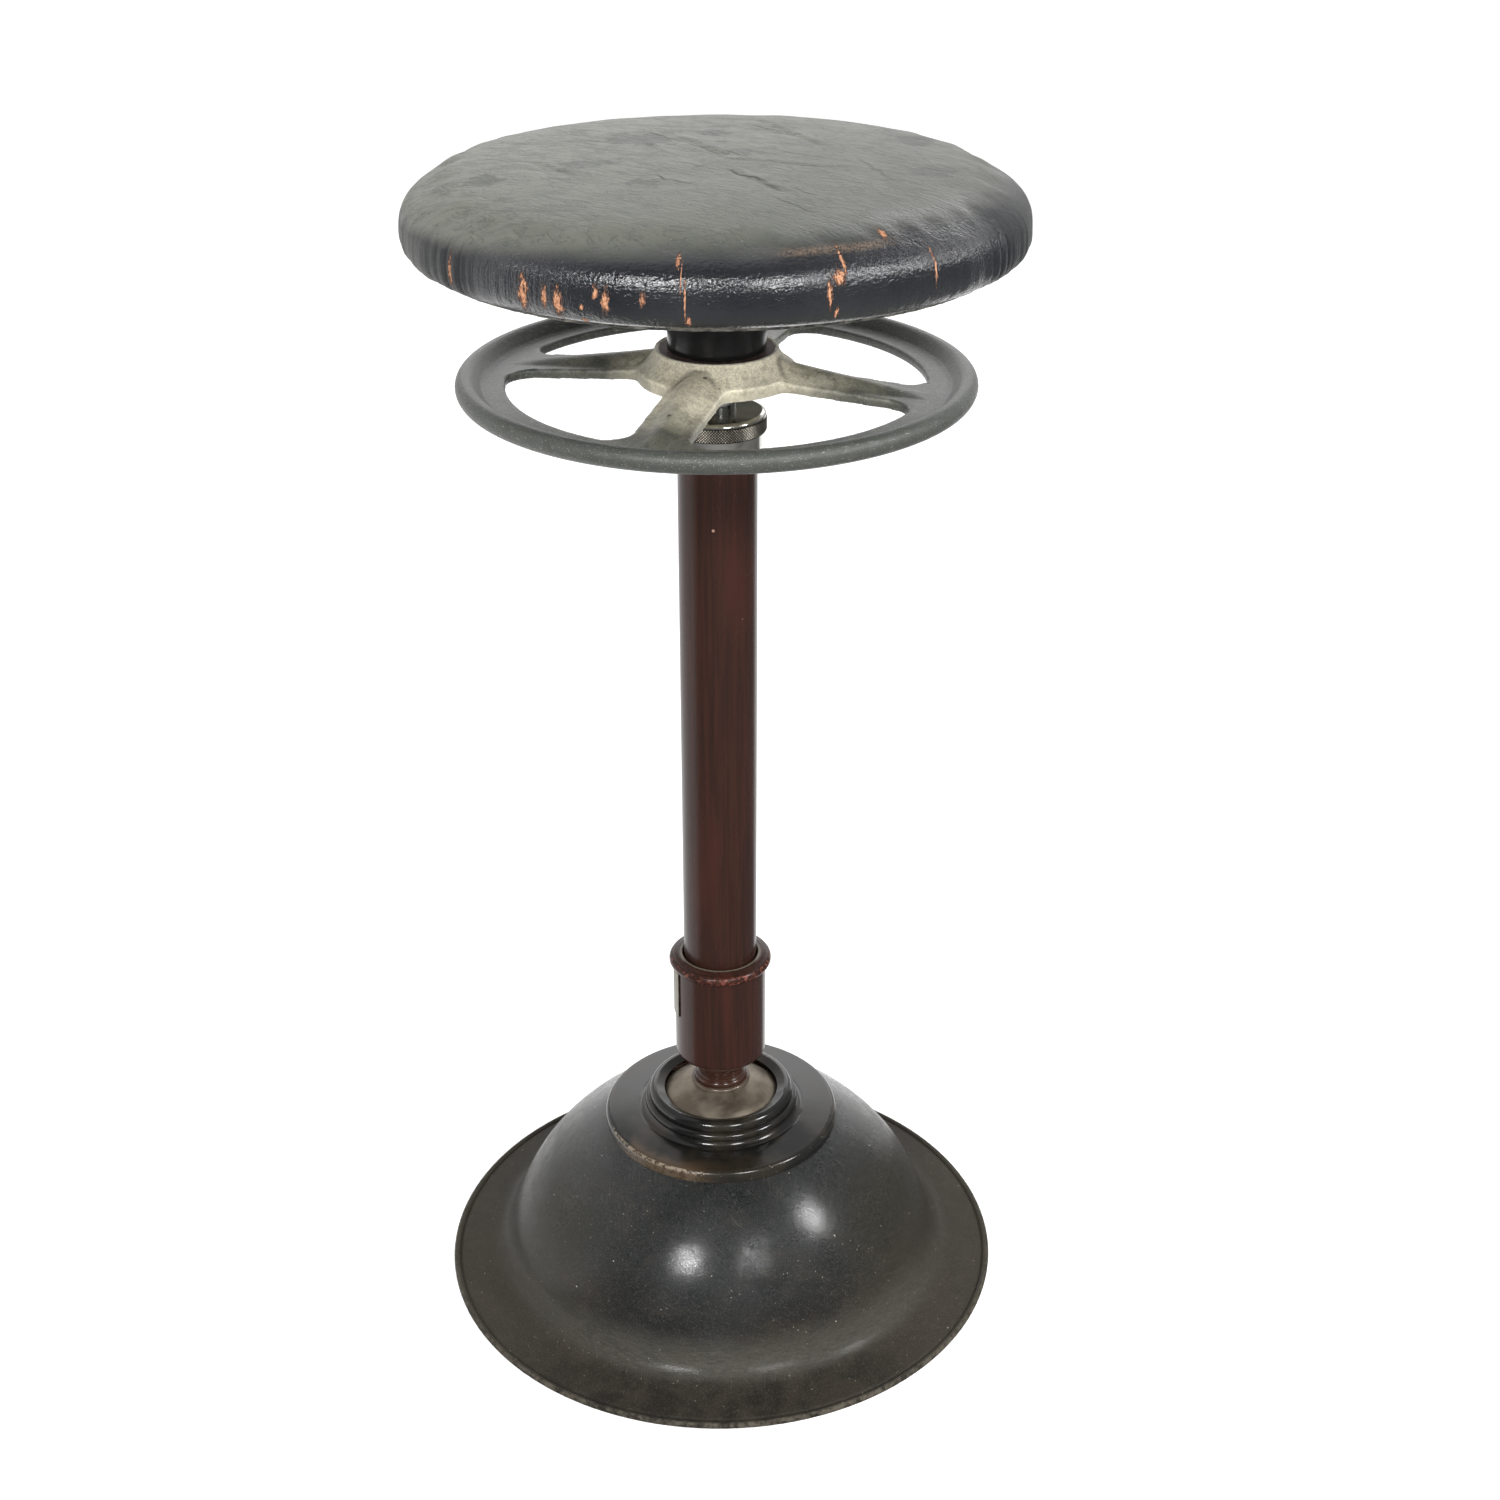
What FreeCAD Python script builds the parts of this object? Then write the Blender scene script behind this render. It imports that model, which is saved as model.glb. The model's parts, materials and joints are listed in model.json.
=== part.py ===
import FreeCAD, Part
import math
import os

# Dental stool: a round leather seat on a screw spindle, raised by a cast hand wheel.
# The pipe column stands on a ball joint in a heavy bell-shaped base.
# Millimetres, +Z up. The origin is the middle of the footprint, on the floor.

# Clearances
touch_gap = 0.05        # between flat faces that bear on each other
running_gap = 0.05      # radial, for a turning or sliding shaft
seat_gap = 0.3          # between shells and castings that nest in each other
liner_gap = 0.3         # each side of a spherical liner

# Ball joint
ball_radius = 63.5
ball_wall = 13.5
ball_cut_angle = 128.0       # polar angle from straight up, where the ball is cut off below
liner_thickness = 2.4
upper_liner_angles = (50.0, 80.0)
lower_liner_angles = (102.0, 122.0)
cup_angles = (96.0, 140.0)
cup_lip = 2.0
spring_height = 17.0
disc_spring_thickness = 2.6
disc_spring_inner = 46.0
disc_spring_clearance = 2.4  # between the disc springs and the bore round them
plate_thickness = 4.5
plate_lift = 5.5             # from the floor to the underside of the spring plate
plate_hole_radius = 40.0
plate_screw_count = 6
plate_screw_radius = 3.0
plate_screw_head = 5.8
plate_screw_length = 22.0

# Socket cap
cap_radius = 79.4
cap_rise = 31.1              # from the pivot to the lower edge of the cap
cap_disc = 8.4               # height of the disc at its rim
cap_edge_radius = 3.4
cap_crown = 0.8              # how much the disc rises towards its middle
cap_cove_radius = 57.0
cap_opening = 38.8
cap_skirt_radius = 71.5
cap_skirt_drop = 25.0
cap_cove = (0.36, 0.24)      # where the cove's middle lies between its two ends
upper_bead_radius = 3.5
upper_bead_inset = 6.7       # from the opening out to the middle of the upper bead
upper_bead_drop = 0.7
lower_bead_radius = 3.3
bead_step = (3.6, -6.8)      # from the upper bead's middle to the lower one's

# Bell cover, spun from sheet with a wired edge
base_radius = 190.0
bell_wall = 2.0
wire_radius = 2.4
floor_gap = 0.3
dome_radius = 151.1
dome_foot = -11.6
dome_power_across = 1.416
dome_power_up = 2.28
dome_end_inset = 4.7         # where the dome turns into the flare
flare_radius = 28.0
edge_groove = 1.4

# Ballast casting
ballast_inset = 9.3
crown_wall = 14.0
hub_wall = 16.4
foot_width = 22.0

# Neck of the ball stud
neck_length = 88.2           # from the pivot to the lower end of the column
lower_neck_bead = 19.4
upper_neck_bead = 17.2
neck_bead_heights = (3.2, 4.0)
neck_bead_swell = 0.9        # how far a bead rounds out
neck_bead_step = 1.0         # how much each bead is smaller at its top
neck_radius = 15.2
neck_hollow = 2.4
collar_height = 6.5
spigot_length = 58.0
spigot_chamfer = 2.0

# Column
column_radius = 24.13
column_wall = 3.68
column_length = 442.8
column_pin_radius = 3.0
column_pin_height = 38.0

# Ferrule at the foot of the column
ferrule_radius = 30.3
ferrule_height = 78.0
ferrule_drop = 3.0           # how far it hangs below the column's end
ferrule_round = 4.0
ferrule_bead_radius = 3.4
ferrule_bead_stand = 3.7     # how far the bead stands out
ferrule_bead_drop = 4.6
ferrule_lip = 1.3
ferrule_lip_depth = 2.6
ferrule_screw_radius = 2.5
ferrule_screw_height = 34.0

# Knurled collar and what hangs inside the column
collar_radius = 29.7
collar_neck_radius = 27.0
collar_knurl_height = 8.5
collar_neck_height = 9.8
collar_chamfer = (3.7, 3.0)
collar_undercut = 0.8
collar_roof = 5.2
tube_flange = 3.0
tube_wall = 3.3
tube_length = 211.0
tube_gap = 0.1
nut_length = 40.0
nut_flange = 5.0
bush_length = 38.0

# Spindle
spindle_radius = 11.11
spindle_foot_gap = 13.8      # from the spigot to the spindle's foot, in the stored position
journal_radius = 9.5
thread_radius = 8.0
thread_length = 13.5
stop_radius = 17.5
stop_height = 12.0
stop_lift = 2.0
spindle_chamfer = 1.0
stop_pin_radius = 2.0

# Hand wheel
rest_gap = 12.2              # from the collar to the hub, in the stored position
hub_length = 24.15
wheel_radius = 153.2
rim_bead_radius = 6.2
rim_join_angle = 140.0       # where the bead's inner flank starts, from straight out
rim_groove = (4.9, 0.5)      # from there in to the foot of the flank, and its depth below the web
rim_drop = 17.2              # from the top of the hub down to the middle of the rim
web_inner_radius = 124.0
web_top = -0.1
web_thickness = 5.6
dish_rise = 5.6              # how much the spokes climb from the rim to the hub
hub_skirt_radius = 46.0
hub_cove = (6.5, 2.6, 4.0)   # its reach beyond the skirt's own radius, and its middle
hub_lip_radius = 36.6
hub_lip_width = 2.3
hub_lip_height = 2.35
hub_boss_radius = 26.0
hub_boss_height = 5.5
spoke_count = 4
spoke_angle = 74.5
spoke_half_width = 16.4
window_hub_radius = 47.0
window_rim_corner = 13.0
window_hub_corner = 8.0
rib_reach = (30.0, 58.0, 96.0, 131.0)    # from the axis to each of the rib's sections
rib_half_width = (18.0, 15.2, 11.5, 7.0)
rib_height = (9.2, 6.2, 3.2, -1.2)       # above the web's top
rib_shoulder = (0.55, 0.48)  # of a rib's half-width and height, on its round flank
rib_foot = 0.7                           # how far its edges go below the web's top
rib_root = 2.5                           # how far it is set into the web
wheel_pin_radius = 2.5
wheel_pin_height = 3.4

# Thrust washer and the seat's pivot
washer_radius = 33.7
washer_thickness = 1.3
boss_radius = 29.1
boss_chamfer = 0.8
boss_length = 60.0
boss_flange_radius = 76.0
boss_flange_thickness = 7.0
boss_flare = 20.0
boss_pocket_radius = 16.0
boss_pocket_depth = 17.1
retaining_washer_radius = 14.5
retaining_washer_thickness = 2.3
retaining_nut_flats = 24.0
retaining_nut_height = 10.0
boss_screw_count = 4
boss_screw_circle = 58.0
boss_screw_radius = 2.6
boss_screw_head = 5.2
boss_screw_length = 18.0

# Seat
seat_radius = 179.5
seat_rise = 37.3             # from the widest line up to the crown
seat_waist = 12.5            # from the underside up to the widest line
seat_power = 4.0
seat_tuck = 12.7             # how far the side curls in to its bottom edge
seat_side_middle = (0.80, 0.62)
leather = 1.6
hem_width = 16.0
board_inset = 3.6            # of the board's edge from the cover's bottom edge
board_thickness = 16.0
lining_thickness = 0.6
tack_count = 20
tack_inset = 6.2             # from the hem's inner edge
tack_head_radius = 3.6
tack_head_height = 1.2
tack_shank_radius = 0.9
tack_length = 9.0

# Sizes that follow from the ones above
housing_radius = ball_radius + liner_thickness + 2 * liner_gap
cup_depth = housing_radius * math.cos(math.radians(180 - cup_angles[1])) + cup_lip
plate_top = plate_lift + plate_thickness
cup_bottom = plate_top + spring_height
pivot_height = cup_bottom + cup_depth
cap_seat_height = pivot_height + cap_rise
bell_hole_radius = cap_skirt_radius + seat_gap + bell_wall    # its edge leans in by up to a wall
ballast_bore = cap_skirt_radius + tube_gap
column_bore = column_radius - column_wall
column_bottom = pivot_height + neck_length
column_top = column_bottom + column_length
spigot_top = column_bottom + spigot_length
spindle_bottom = spigot_top + spindle_foot_gap
stop_bottom = spindle_bottom + stop_lift
ferrule_bore = column_radius + running_gap
ferrule_bottom = column_bottom - ferrule_drop
ferrule_top = ferrule_bottom + ferrule_height
tube_radius = column_bore - tube_gap
tube_bore = tube_radius - tube_wall
tube_bottom = column_top - tube_length
collar_inside = column_top + tube_flange + touch_gap
collar_top = collar_inside + collar_roof
spindle_bore = spindle_radius + running_gap
hub_bottom = collar_top + rest_gap
hub_top = hub_bottom + hub_length
rim_height = hub_top - rim_drop
washer_bottom = hub_top + touch_gap
boss_bottom = washer_bottom + washer_thickness + touch_gap
boss_top = boss_bottom + boss_length
pocket_floor = boss_top - boss_pocket_depth
board_bottom = boss_top + touch_gap
board_top = board_bottom + board_thickness
hem_bottom = board_bottom - touch_gap - leather
waist_height = hem_bottom + seat_waist
seat_bottom_radius = seat_radius - seat_tuck
hem_inner_radius = seat_bottom_radius - hem_width
board_radius = seat_bottom_radius - board_inset


def at(radius, height):
    # A point in the half-plane that every turned piece is drawn in.
    return FreeCAD.Vector(radius, 0, height)


def on_sphere(radius, polar_angle):
    # A point on a sphere about the pivot; the angle is measured from straight up.
    angle = math.radians(polar_angle)
    return (radius * math.sin(angle), pivot_height + radius * math.cos(angle))


def on_bead(bead, radius, angle):
    # A point on the round of a turned bead; the angle is measured from straight out.
    turn = math.radians(angle)
    return (bead[0] + radius * math.cos(turn), bead[1] + radius * math.sin(turn))


def outline_edges(corners):
    # A corner is (radius, height), reached by a straight line,
    # or (middle radius, middle height, radius, height), reached by an arc.
    edges = []
    here = at(*corners[0])
    for corner in corners[1:]:
        there = at(*corner[-2:])
        if len(corner) == 4:
            edges.append(Part.Arc(here, at(*corner[:2]), there).toShape())
        else:
            edges.append(Part.LineSegment(here, there).toShape())
        here = there
    return edges


def revolve(edges):
    face = Part.Face(Part.Wire(Part.__sortEdges__(edges)))
    return face.revolve(FreeCAD.Vector(0, 0, 0), FreeCAD.Vector(0, 0, 1), 360)


def turned(*corners):
    edges = outline_edges(corners)
    first = at(*corners[0][-2:])
    last = at(*corners[-1][-2:])
    if not first.isEqual(last, 1e-6):
        edges.append(Part.LineSegment(last, first).toShape())
    return revolve(edges)


def ring(inner, outer, bottom, top):
    return turned((inner, bottom), (outer, bottom), (outer, top), (inner, top))


def rod(radius, start, end):
    # A round bar from one point to another.
    along = end - start
    return Part.makeCylinder(radius, along.Length, start, along)


def around(shape, count, first_angle=0.0):
    # Copies of a shape, evenly spaced about the stool's axis.
    copies = []
    for index in range(count):
        copy = shape.copy()
        copy.rotate(FreeCAD.Vector(0, 0, 0), FreeCAD.Vector(0, 0, 1), first_angle + 360.0 * index / count)
        copies.append(copy)
    return copies


def countersunk_screw(radius, head_radius, length, seat_height, circle, grow=0.0):
    # A screw that points up, with its flat head level with seat_height.
    cone = head_radius - radius
    screw = turned(
        (0, seat_height),
        (head_radius + grow, seat_height),
        (radius + grow, seat_height + cone),
        (radius + grow, seat_height + length),
        (0, seat_height + length),
    )
    screw.translate(FreeCAD.Vector(circle, 0, 0))
    return screw


# Bell cover and ballast share the curve of the dome.

dome_share = (1 - (cap_radius / dome_radius) ** dome_power_across) ** (1 / dome_power_up)
dome_rise = (cap_seat_height - dome_foot) / dome_share


def dome_height(radius):
    across = 1 - (radius / dome_radius) ** dome_power_across
    return dome_foot + dome_rise * across ** (1 / dome_power_up)


def dome_normal(radius):
    step = 0.01
    slope = (dome_height(radius + step) - dome_height(radius - step)) / (2 * step)
    length = math.hypot(1, slope)
    return (-slope / length, 1 / length)


def dome_point(radius, inset):
    across, up = dome_normal(radius)
    return (radius - inset * across, dome_height(radius) - inset * up)


def dome_curve(start_radius, end_radius, inset, spans=9):
    # Closer steps towards the steep outer end.
    points = []
    for index in range(spans + 1):
        share = math.sin(0.5 * math.pi * index / spans)
        radius = start_radius + (end_radius - start_radius) * share
        points.append(at(*dome_point(radius, inset)))
    curve = Part.BSplineCurve()
    curve.interpolate(points)
    return curve.toShape()


def flare(inset):
    # The arc from the dome to the brim, and the brim up to the wired edge.
    end_radius = dome_radius - dome_end_inset
    start = dome_point(end_radius, inset)
    across, up = dome_normal(end_radius)
    surface = dome_point(end_radius, 0)
    centre = (surface[0] + flare_radius * across, surface[1] + flare_radius * up)
    brim_end = (
        base_radius - 2 * wire_radius - edge_groove,
        floor_gap + 2 * wire_radius - 0.3 * edge_groove,
    )
    away = (centre[0] - brim_end[0], centre[1] - brim_end[1])
    distance = math.hypot(*away)
    direction = math.atan2(away[1], away[0]) + math.asin(flare_radius / distance)
    normal = (math.sin(direction), -math.cos(direction))
    radius = flare_radius + inset
    stop = (centre[0] - radius * normal[0], centre[1] - radius * normal[1])
    middle_angle = 0.5 * (math.atan2(up, across) + math.atan2(normal[1], normal[0]))
    middle = (centre[0] - radius * math.cos(middle_angle), centre[1] - radius * math.sin(middle_angle))
    edge = (brim_end[0] - inset * normal[0], brim_end[1] - inset * normal[1])
    return start, middle, stop, edge


def bell_cover():
    end_radius = dome_radius - dome_end_inset
    wire = (base_radius - wire_radius, floor_gap + wire_radius)
    joint = math.radians(20)
    near = wire[0] - wire_radius * math.cos(joint)
    rise = wire_radius * math.sin(joint)
    start, middle, stop, edge = flare(0)
    inner_start, inner_middle, inner_stop, inner_edge = flare(bell_wall)
    edges = [dome_curve(bell_hole_radius, end_radius, 0)]
    edges += outline_edges([
        start,
        middle + stop,
        edge,
        (near, wire[1] + rise),
        (base_radius, wire[1], near, wire[1] - rise),
        inner_edge,
        inner_stop,
        inner_middle + inner_start,
    ])
    edges.append(dome_curve(bell_hole_radius, end_radius, bell_wall))
    edges += outline_edges([dome_point(bell_hole_radius, bell_wall), dome_point(bell_hole_radius, 0)])
    return revolve(edges)


def plate_screws(grow=0.0):
    circle = ballast_bore + 0.5 * hub_wall
    screw = countersunk_screw(
        plate_screw_radius, plate_screw_head, plate_screw_length, plate_lift, circle, grow
    )
    return around(screw, plate_screw_count)


def ballast_casting():
    inset = bell_wall + seat_gap
    top_radius = ballast_bore + inset
    foot = dome_point(dome_radius - ballast_inset, inset)
    top = dome_point(top_radius, inset)
    hub_outer = ballast_bore + hub_wall
    foot_inner = foot[0] - foot_width
    crown_drop = inset + crown_wall
    edges = [dome_curve(top_radius, dome_radius - ballast_inset, inset)]
    edges += outline_edges([
        foot,
        (foot[0], 0),
        (foot_inner, 0),
        (foot_inner, dome_height(foot_inner) - crown_drop),
        (hub_outer, dome_height(hub_outer) - crown_drop),
        (hub_outer, plate_top + touch_gap),
        (ballast_bore, plate_top + touch_gap),
        (ballast_bore, top[1]),
        top,
    ])
    casting = revolve(edges)
    return casting.cut(plate_screws(running_gap))


def spring_plate():
    outer = ballast_bore + hub_wall
    plate = ring(plate_hole_radius, outer, plate_lift, plate_top)
    return plate.cut(plate_screws(running_gap))


def disc_springs():
    # Two coned rings, edge to edge, that press the cup up against the ball.
    outer = ballast_bore - disc_spring_clearance
    gap = touch_gap
    middle = plate_top + 0.5 * spring_height
    low = plate_top + gap
    rise = middle - 0.5 * gap - disc_spring_thickness - low
    lower = turned(
        (outer, low),
        (outer, low + disc_spring_thickness),
        (disc_spring_inner, low + disc_spring_thickness + rise),
        (disc_spring_inner, low + rise),
    )
    upper = lower.mirror(FreeCAD.Vector(0, 0, middle), FreeCAD.Vector(0, 0, 1))
    return [lower, upper]


def spherical_band(inner_radius, outer_radius, angles):
    top, bottom = angles
    middle = 0.5 * (top + bottom)
    return turned(
        on_sphere(inner_radius, top),
        on_sphere(outer_radius, top),
        on_sphere(outer_radius, middle) + on_sphere(outer_radius, bottom),
        on_sphere(inner_radius, bottom),
        on_sphere(inner_radius, middle) + on_sphere(inner_radius, top),
    )


def liner(angles):
    inner_radius = ball_radius + liner_gap
    return spherical_band(inner_radius, inner_radius + liner_thickness, angles)


def pressure_cup():
    top, bottom = cup_angles
    outer = ballast_bore - seat_gap
    low_edge = on_sphere(housing_radius, bottom)
    top_edge = on_sphere(housing_radius, top)
    return turned(
        low_edge,
        on_sphere(housing_radius, 0.5 * (top + bottom)) + top_edge,
        (outer, top_edge[1]),
        (outer, cup_bottom),
        (low_edge[0], cup_bottom),
    )


def socket_cap():
    # A flat disc with two turned beads round the opening, over a screwed skirt.
    lip_height = pivot_height + math.sqrt(housing_radius ** 2 - cap_opening ** 2)
    disc_top = cap_seat_height + cap_disc
    rim_low = dome_height(cap_radius) + seat_gap
    skirt_top = dome_height(cap_skirt_radius) + seat_gap
    skirt_bottom = cap_seat_height - cap_skirt_drop
    crown = disc_top + cap_crown
    upper = (cap_opening + upper_bead_inset, lip_height - upper_bead_drop)
    lower = (upper[0] + bead_step[0], upper[1] + bead_step[1])
    upper_top = on_bead(upper, upper_bead_radius, 120)
    upper_side = on_bead(upper, upper_bead_radius, 0)
    groove = on_bead(lower, lower_bead_radius, 96)
    lower_side = on_bead(lower, lower_bead_radius, 0)
    lower_foot = on_bead(lower, lower_bead_radius, -51)
    cove_middle = (
        lower_foot[0] + cap_cove[0] * (cap_cove_radius - lower_foot[0]),
        crown + cap_cove[1] * (lower_foot[1] - crown),
    )
    edge = (cap_radius - cap_edge_radius, disc_top - cap_edge_radius)
    inner_bottom = math.sqrt(housing_radius ** 2 - (skirt_bottom - pivot_height) ** 2)
    polar_top = math.degrees(math.asin(cap_opening / housing_radius))
    polar_bottom = math.degrees(math.acos((skirt_bottom - pivot_height) / housing_radius))
    polar_middle = 0.5 * (polar_top + polar_bottom)
    return turned(
        (cap_opening, lip_height),
        upper_top,
        upper_side + groove,
        lower_side + lower_foot,
        cove_middle + (cap_cove_radius, crown),
        (edge[0], disc_top),
        on_bead(edge, cap_edge_radius, 45) + (cap_radius, edge[1]),
        (cap_radius, rim_low),
        (cap_skirt_radius, skirt_top),
        (cap_skirt_radius, skirt_bottom),
        (inner_bottom, skirt_bottom),
        on_sphere(housing_radius, polar_middle) + (cap_opening, lip_height),
    )


def ball_stud():
    # Cored ball, beaded neck and the spigot that the column stands on.
    cavity = ball_radius - ball_wall
    polar_top = math.degrees(math.asin(lower_neck_bead / ball_radius))
    neck_start = on_sphere(ball_radius, polar_top)
    shoulder = column_bottom - collar_height
    first = neck_start[1] + neck_bead_heights[0]
    second = first + neck_bead_heights[1]
    waist = (neck_radius, second + neck_bead_swell)
    first_middle = (lower_neck_bead + 0.5 * neck_bead_swell, 0.5 * (neck_start[1] + first))
    second_middle = (upper_neck_bead + neck_bead_swell, 0.5 * (first + second))
    hollow_middle = (neck_radius + neck_hollow, 0.5 * (waist[1] + shoulder))
    spigot_radius = column_bore - running_gap
    shoulder_radius = column_radius - tube_gap
    stud = turned(
        (0, pivot_height + cavity),
        on_sphere(cavity, 0.5 * ball_cut_angle) + on_sphere(cavity, ball_cut_angle),
        on_sphere(ball_radius, ball_cut_angle),
        on_sphere(ball_radius, 0.5 * (ball_cut_angle + polar_top)) + neck_start,
        first_middle + (upper_neck_bead, first),
        second_middle + (upper_neck_bead - neck_bead_step, second),
        waist,
        hollow_middle + (shoulder_radius, shoulder),
        (shoulder_radius, column_bottom - touch_gap),
        (spigot_radius, column_bottom - touch_gap),
        (spigot_radius, spigot_top - spigot_chamfer),
        (spigot_radius - spigot_chamfer, spigot_top),
        (0, spigot_top),
    )
    return stud.cut(column_pin(running_gap))


def column_pin(grow=0.0):
    height = column_bottom + column_pin_height
    reach = math.sqrt(column_radius ** 2 - column_pin_radius ** 2) - tube_gap
    start = FreeCAD.Vector(-reach, 0, height)
    end = FreeCAD.Vector(reach, 0, height)
    return rod(column_pin_radius + grow, start, end)


def column_tube():
    tube = ring(column_bore, column_radius, column_bottom, column_top)
    height = column_bottom + column_pin_height
    start = FreeCAD.Vector(-column_radius - 1, 0, height)
    end = FreeCAD.Vector(column_radius + 1, 0, height)
    return tube.cut(rod(column_pin_radius + running_gap, start, end))


def ferrule_screw(grow=0.0):
    height = ferrule_bottom + ferrule_screw_height
    start = FreeCAD.Vector(0, column_radius + 0.5 * seat_gap, height)
    end = FreeCAD.Vector(0, ferrule_radius - seat_gap, height)
    if grow:
        start = FreeCAD.Vector(0, column_radius - 1, height)
        end = FreeCAD.Vector(0, ferrule_radius + 1, height)
    return rod(ferrule_screw_radius + grow, start, end)


def column_ferrule():
    foot = (ferrule_radius - ferrule_round, ferrule_bottom + ferrule_round)
    bead = (ferrule_radius + ferrule_bead_stand - ferrule_bead_radius, ferrule_top - ferrule_bead_drop)
    bead_reach = math.sqrt(ferrule_bead_radius ** 2 - (ferrule_radius - bead[0]) ** 2)
    sleeve = turned(
        (ferrule_bore, ferrule_bottom),
        (foot[0], ferrule_bottom),
        on_bead(foot, ferrule_round, -45) + (ferrule_radius, foot[1]),
        (ferrule_radius, bead[1] - bead_reach),
        on_bead(bead, ferrule_bead_radius, 0) + on_bead(bead, ferrule_bead_radius, 90),
        (ferrule_bore + ferrule_lip + ferrule_lip_depth, ferrule_top),
        (ferrule_bore + ferrule_lip, ferrule_top),
        (ferrule_bore, ferrule_top - ferrule_lip_depth),
    )
    return sleeve.cut(ferrule_screw(running_gap))


def knurled_collar():
    neck_bottom = collar_top - collar_chamfer[1] - collar_knurl_height - collar_neck_height
    knurl_bottom = neck_bottom + collar_neck_height
    return turned(
        (column_radius + running_gap, neck_bottom),
        (collar_neck_radius, neck_bottom),
        (collar_neck_radius, knurl_bottom - collar_undercut),
        (collar_radius, knurl_bottom),
        (collar_radius, collar_top - collar_chamfer[1]),
        (collar_radius - collar_chamfer[0], collar_top),
        (spindle_bore, collar_top),
        (spindle_bore, collar_inside),
        (column_radius + running_gap, collar_inside),
    )


def inner_tube():
    flange_bottom = column_top + touch_gap
    return turned(
        (tube_bore, tube_bottom),
        (tube_radius, tube_bottom),
        (tube_radius, flange_bottom),
        (column_radius, flange_bottom),
        (column_radius, column_top + tube_flange),
        (tube_bore, column_top + tube_flange),
    )


def guide_bush():
    top = column_top + tube_flange
    return ring(spindle_bore, tube_bore - running_gap, top - bush_length, top)


def lift_nut():
    flange_top = tube_bottom - touch_gap
    return turned(
        (spindle_bore, flange_top - nut_flange),
        (tube_radius, flange_top - nut_flange),
        (tube_radius, flange_top),
        (tube_bore - running_gap, flange_top),
        (tube_bore - running_gap, tube_bottom + nut_length),
        (spindle_bore, tube_bottom + nut_length),
    )


def wheel_pin(grow=0.0):
    height = hub_bottom + wheel_pin_height
    reach = hub_boss_radius - touch_gap
    pin = rod(wheel_pin_radius + grow, FreeCAD.Vector(-reach, 0, height), FreeCAD.Vector(reach, 0, height))
    pin.rotate(FreeCAD.Vector(0, 0, 0), FreeCAD.Vector(0, 0, 1), spoke_angle)
    return pin


def stop_pin(grow=0.0):
    height = stop_bottom + 0.5 * stop_height
    reach = stop_radius - touch_gap
    start = FreeCAD.Vector(-reach, 0, height)
    end = FreeCAD.Vector(reach, 0, height)
    return rod(stop_pin_radius + grow, start, end)


def spindle():
    journal_top = pocket_floor + touch_gap
    shaft = turned(
        (0, spindle_bottom),
        (spindle_radius - spindle_chamfer, spindle_bottom),
        (spindle_radius, spindle_bottom + spindle_chamfer),
        (spindle_radius, hub_top),
        (journal_radius, hub_top),
        (journal_radius, journal_top),
        (thread_radius, journal_top),
        (thread_radius, journal_top + thread_length),
        (0, journal_top + thread_length),
    )
    return shaft.cut([wheel_pin(running_gap), stop_pin(running_gap)])


def spindle_stop():
    stop = ring(spindle_bore, stop_radius, stop_bottom, stop_bottom + stop_height)
    return stop.cut(stop_pin(running_gap))


def upright_edges(shape, radius):
    # The upright edges of a shape that stand at one distance from the stool's axis.
    found = []
    for edge in shape.Edges:
        place = edge.CenterOfMass
        upright = abs(edge.tangentAt(edge.FirstParameter).z) > 0.99
        if upright and abs(math.hypot(place.x, place.y) - radius) < running_gap:
            found.append(edge)
    return found


def wheel_windows():
    # Four openings with round corners, between the spokes.
    low = hub_bottom - hub_length
    high = hub_top + hub_length
    blank = ring(window_hub_radius, web_inner_radius, low, high)
    blank.rotate(FreeCAD.Vector(0, 0, 0), FreeCAD.Vector(0, 0, 1), spoke_angle)
    bar = Part.makeBox(
        wheel_radius, 2 * spoke_half_width, high - low,
        FreeCAD.Vector(0, -spoke_half_width, low),
    )
    rounded = []
    for window in blank.cut(around(bar, spoke_count, spoke_angle)).Solids:
        window = window.makeFillet(window_rim_corner, upright_edges(window, web_inner_radius))
        window = window.makeFillet(window_hub_corner, upright_edges(window, window_hub_radius))
        rounded.append(window)
    return rounded


def web_top_at(reach):
    # Height of the dished web's top above the middle of the rim.
    dish_start = hub_skirt_radius + hub_cove[0]
    share = (web_inner_radius - reach) / (web_inner_radius - dish_start)
    return web_top + dish_rise * max(share, 0)


def spoke_rib():
    # A rounded rib along the middle of a spoke, wide at the hub, that sinks into the web.
    sections = []
    for reach, width, height in zip(rib_reach, rib_half_width, rib_height):
        top = rim_height + web_top_at(reach)
        side = rib_shoulder[0] * width
        shoulder = rib_shoulder[1] * height
        across = (-width, -side, 0, side, width)
        up = (-rib_foot, shoulder, height, shoulder, -rib_foot)
        points = [FreeCAD.Vector(reach, y, top + z) for y, z in zip(across, up)]
        crest = Part.BSplineCurve()
        crest.interpolate(points)
        low = FreeCAD.Vector(0, 0, -rib_root)
        feet = Part.makePolygon([points[-1], points[-1] + low, points[0] + low, points[0]])
        sections.append(Part.Wire([crest.toShape()] + feet.Edges))
    return Part.makeLoft(sections, True)


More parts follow.
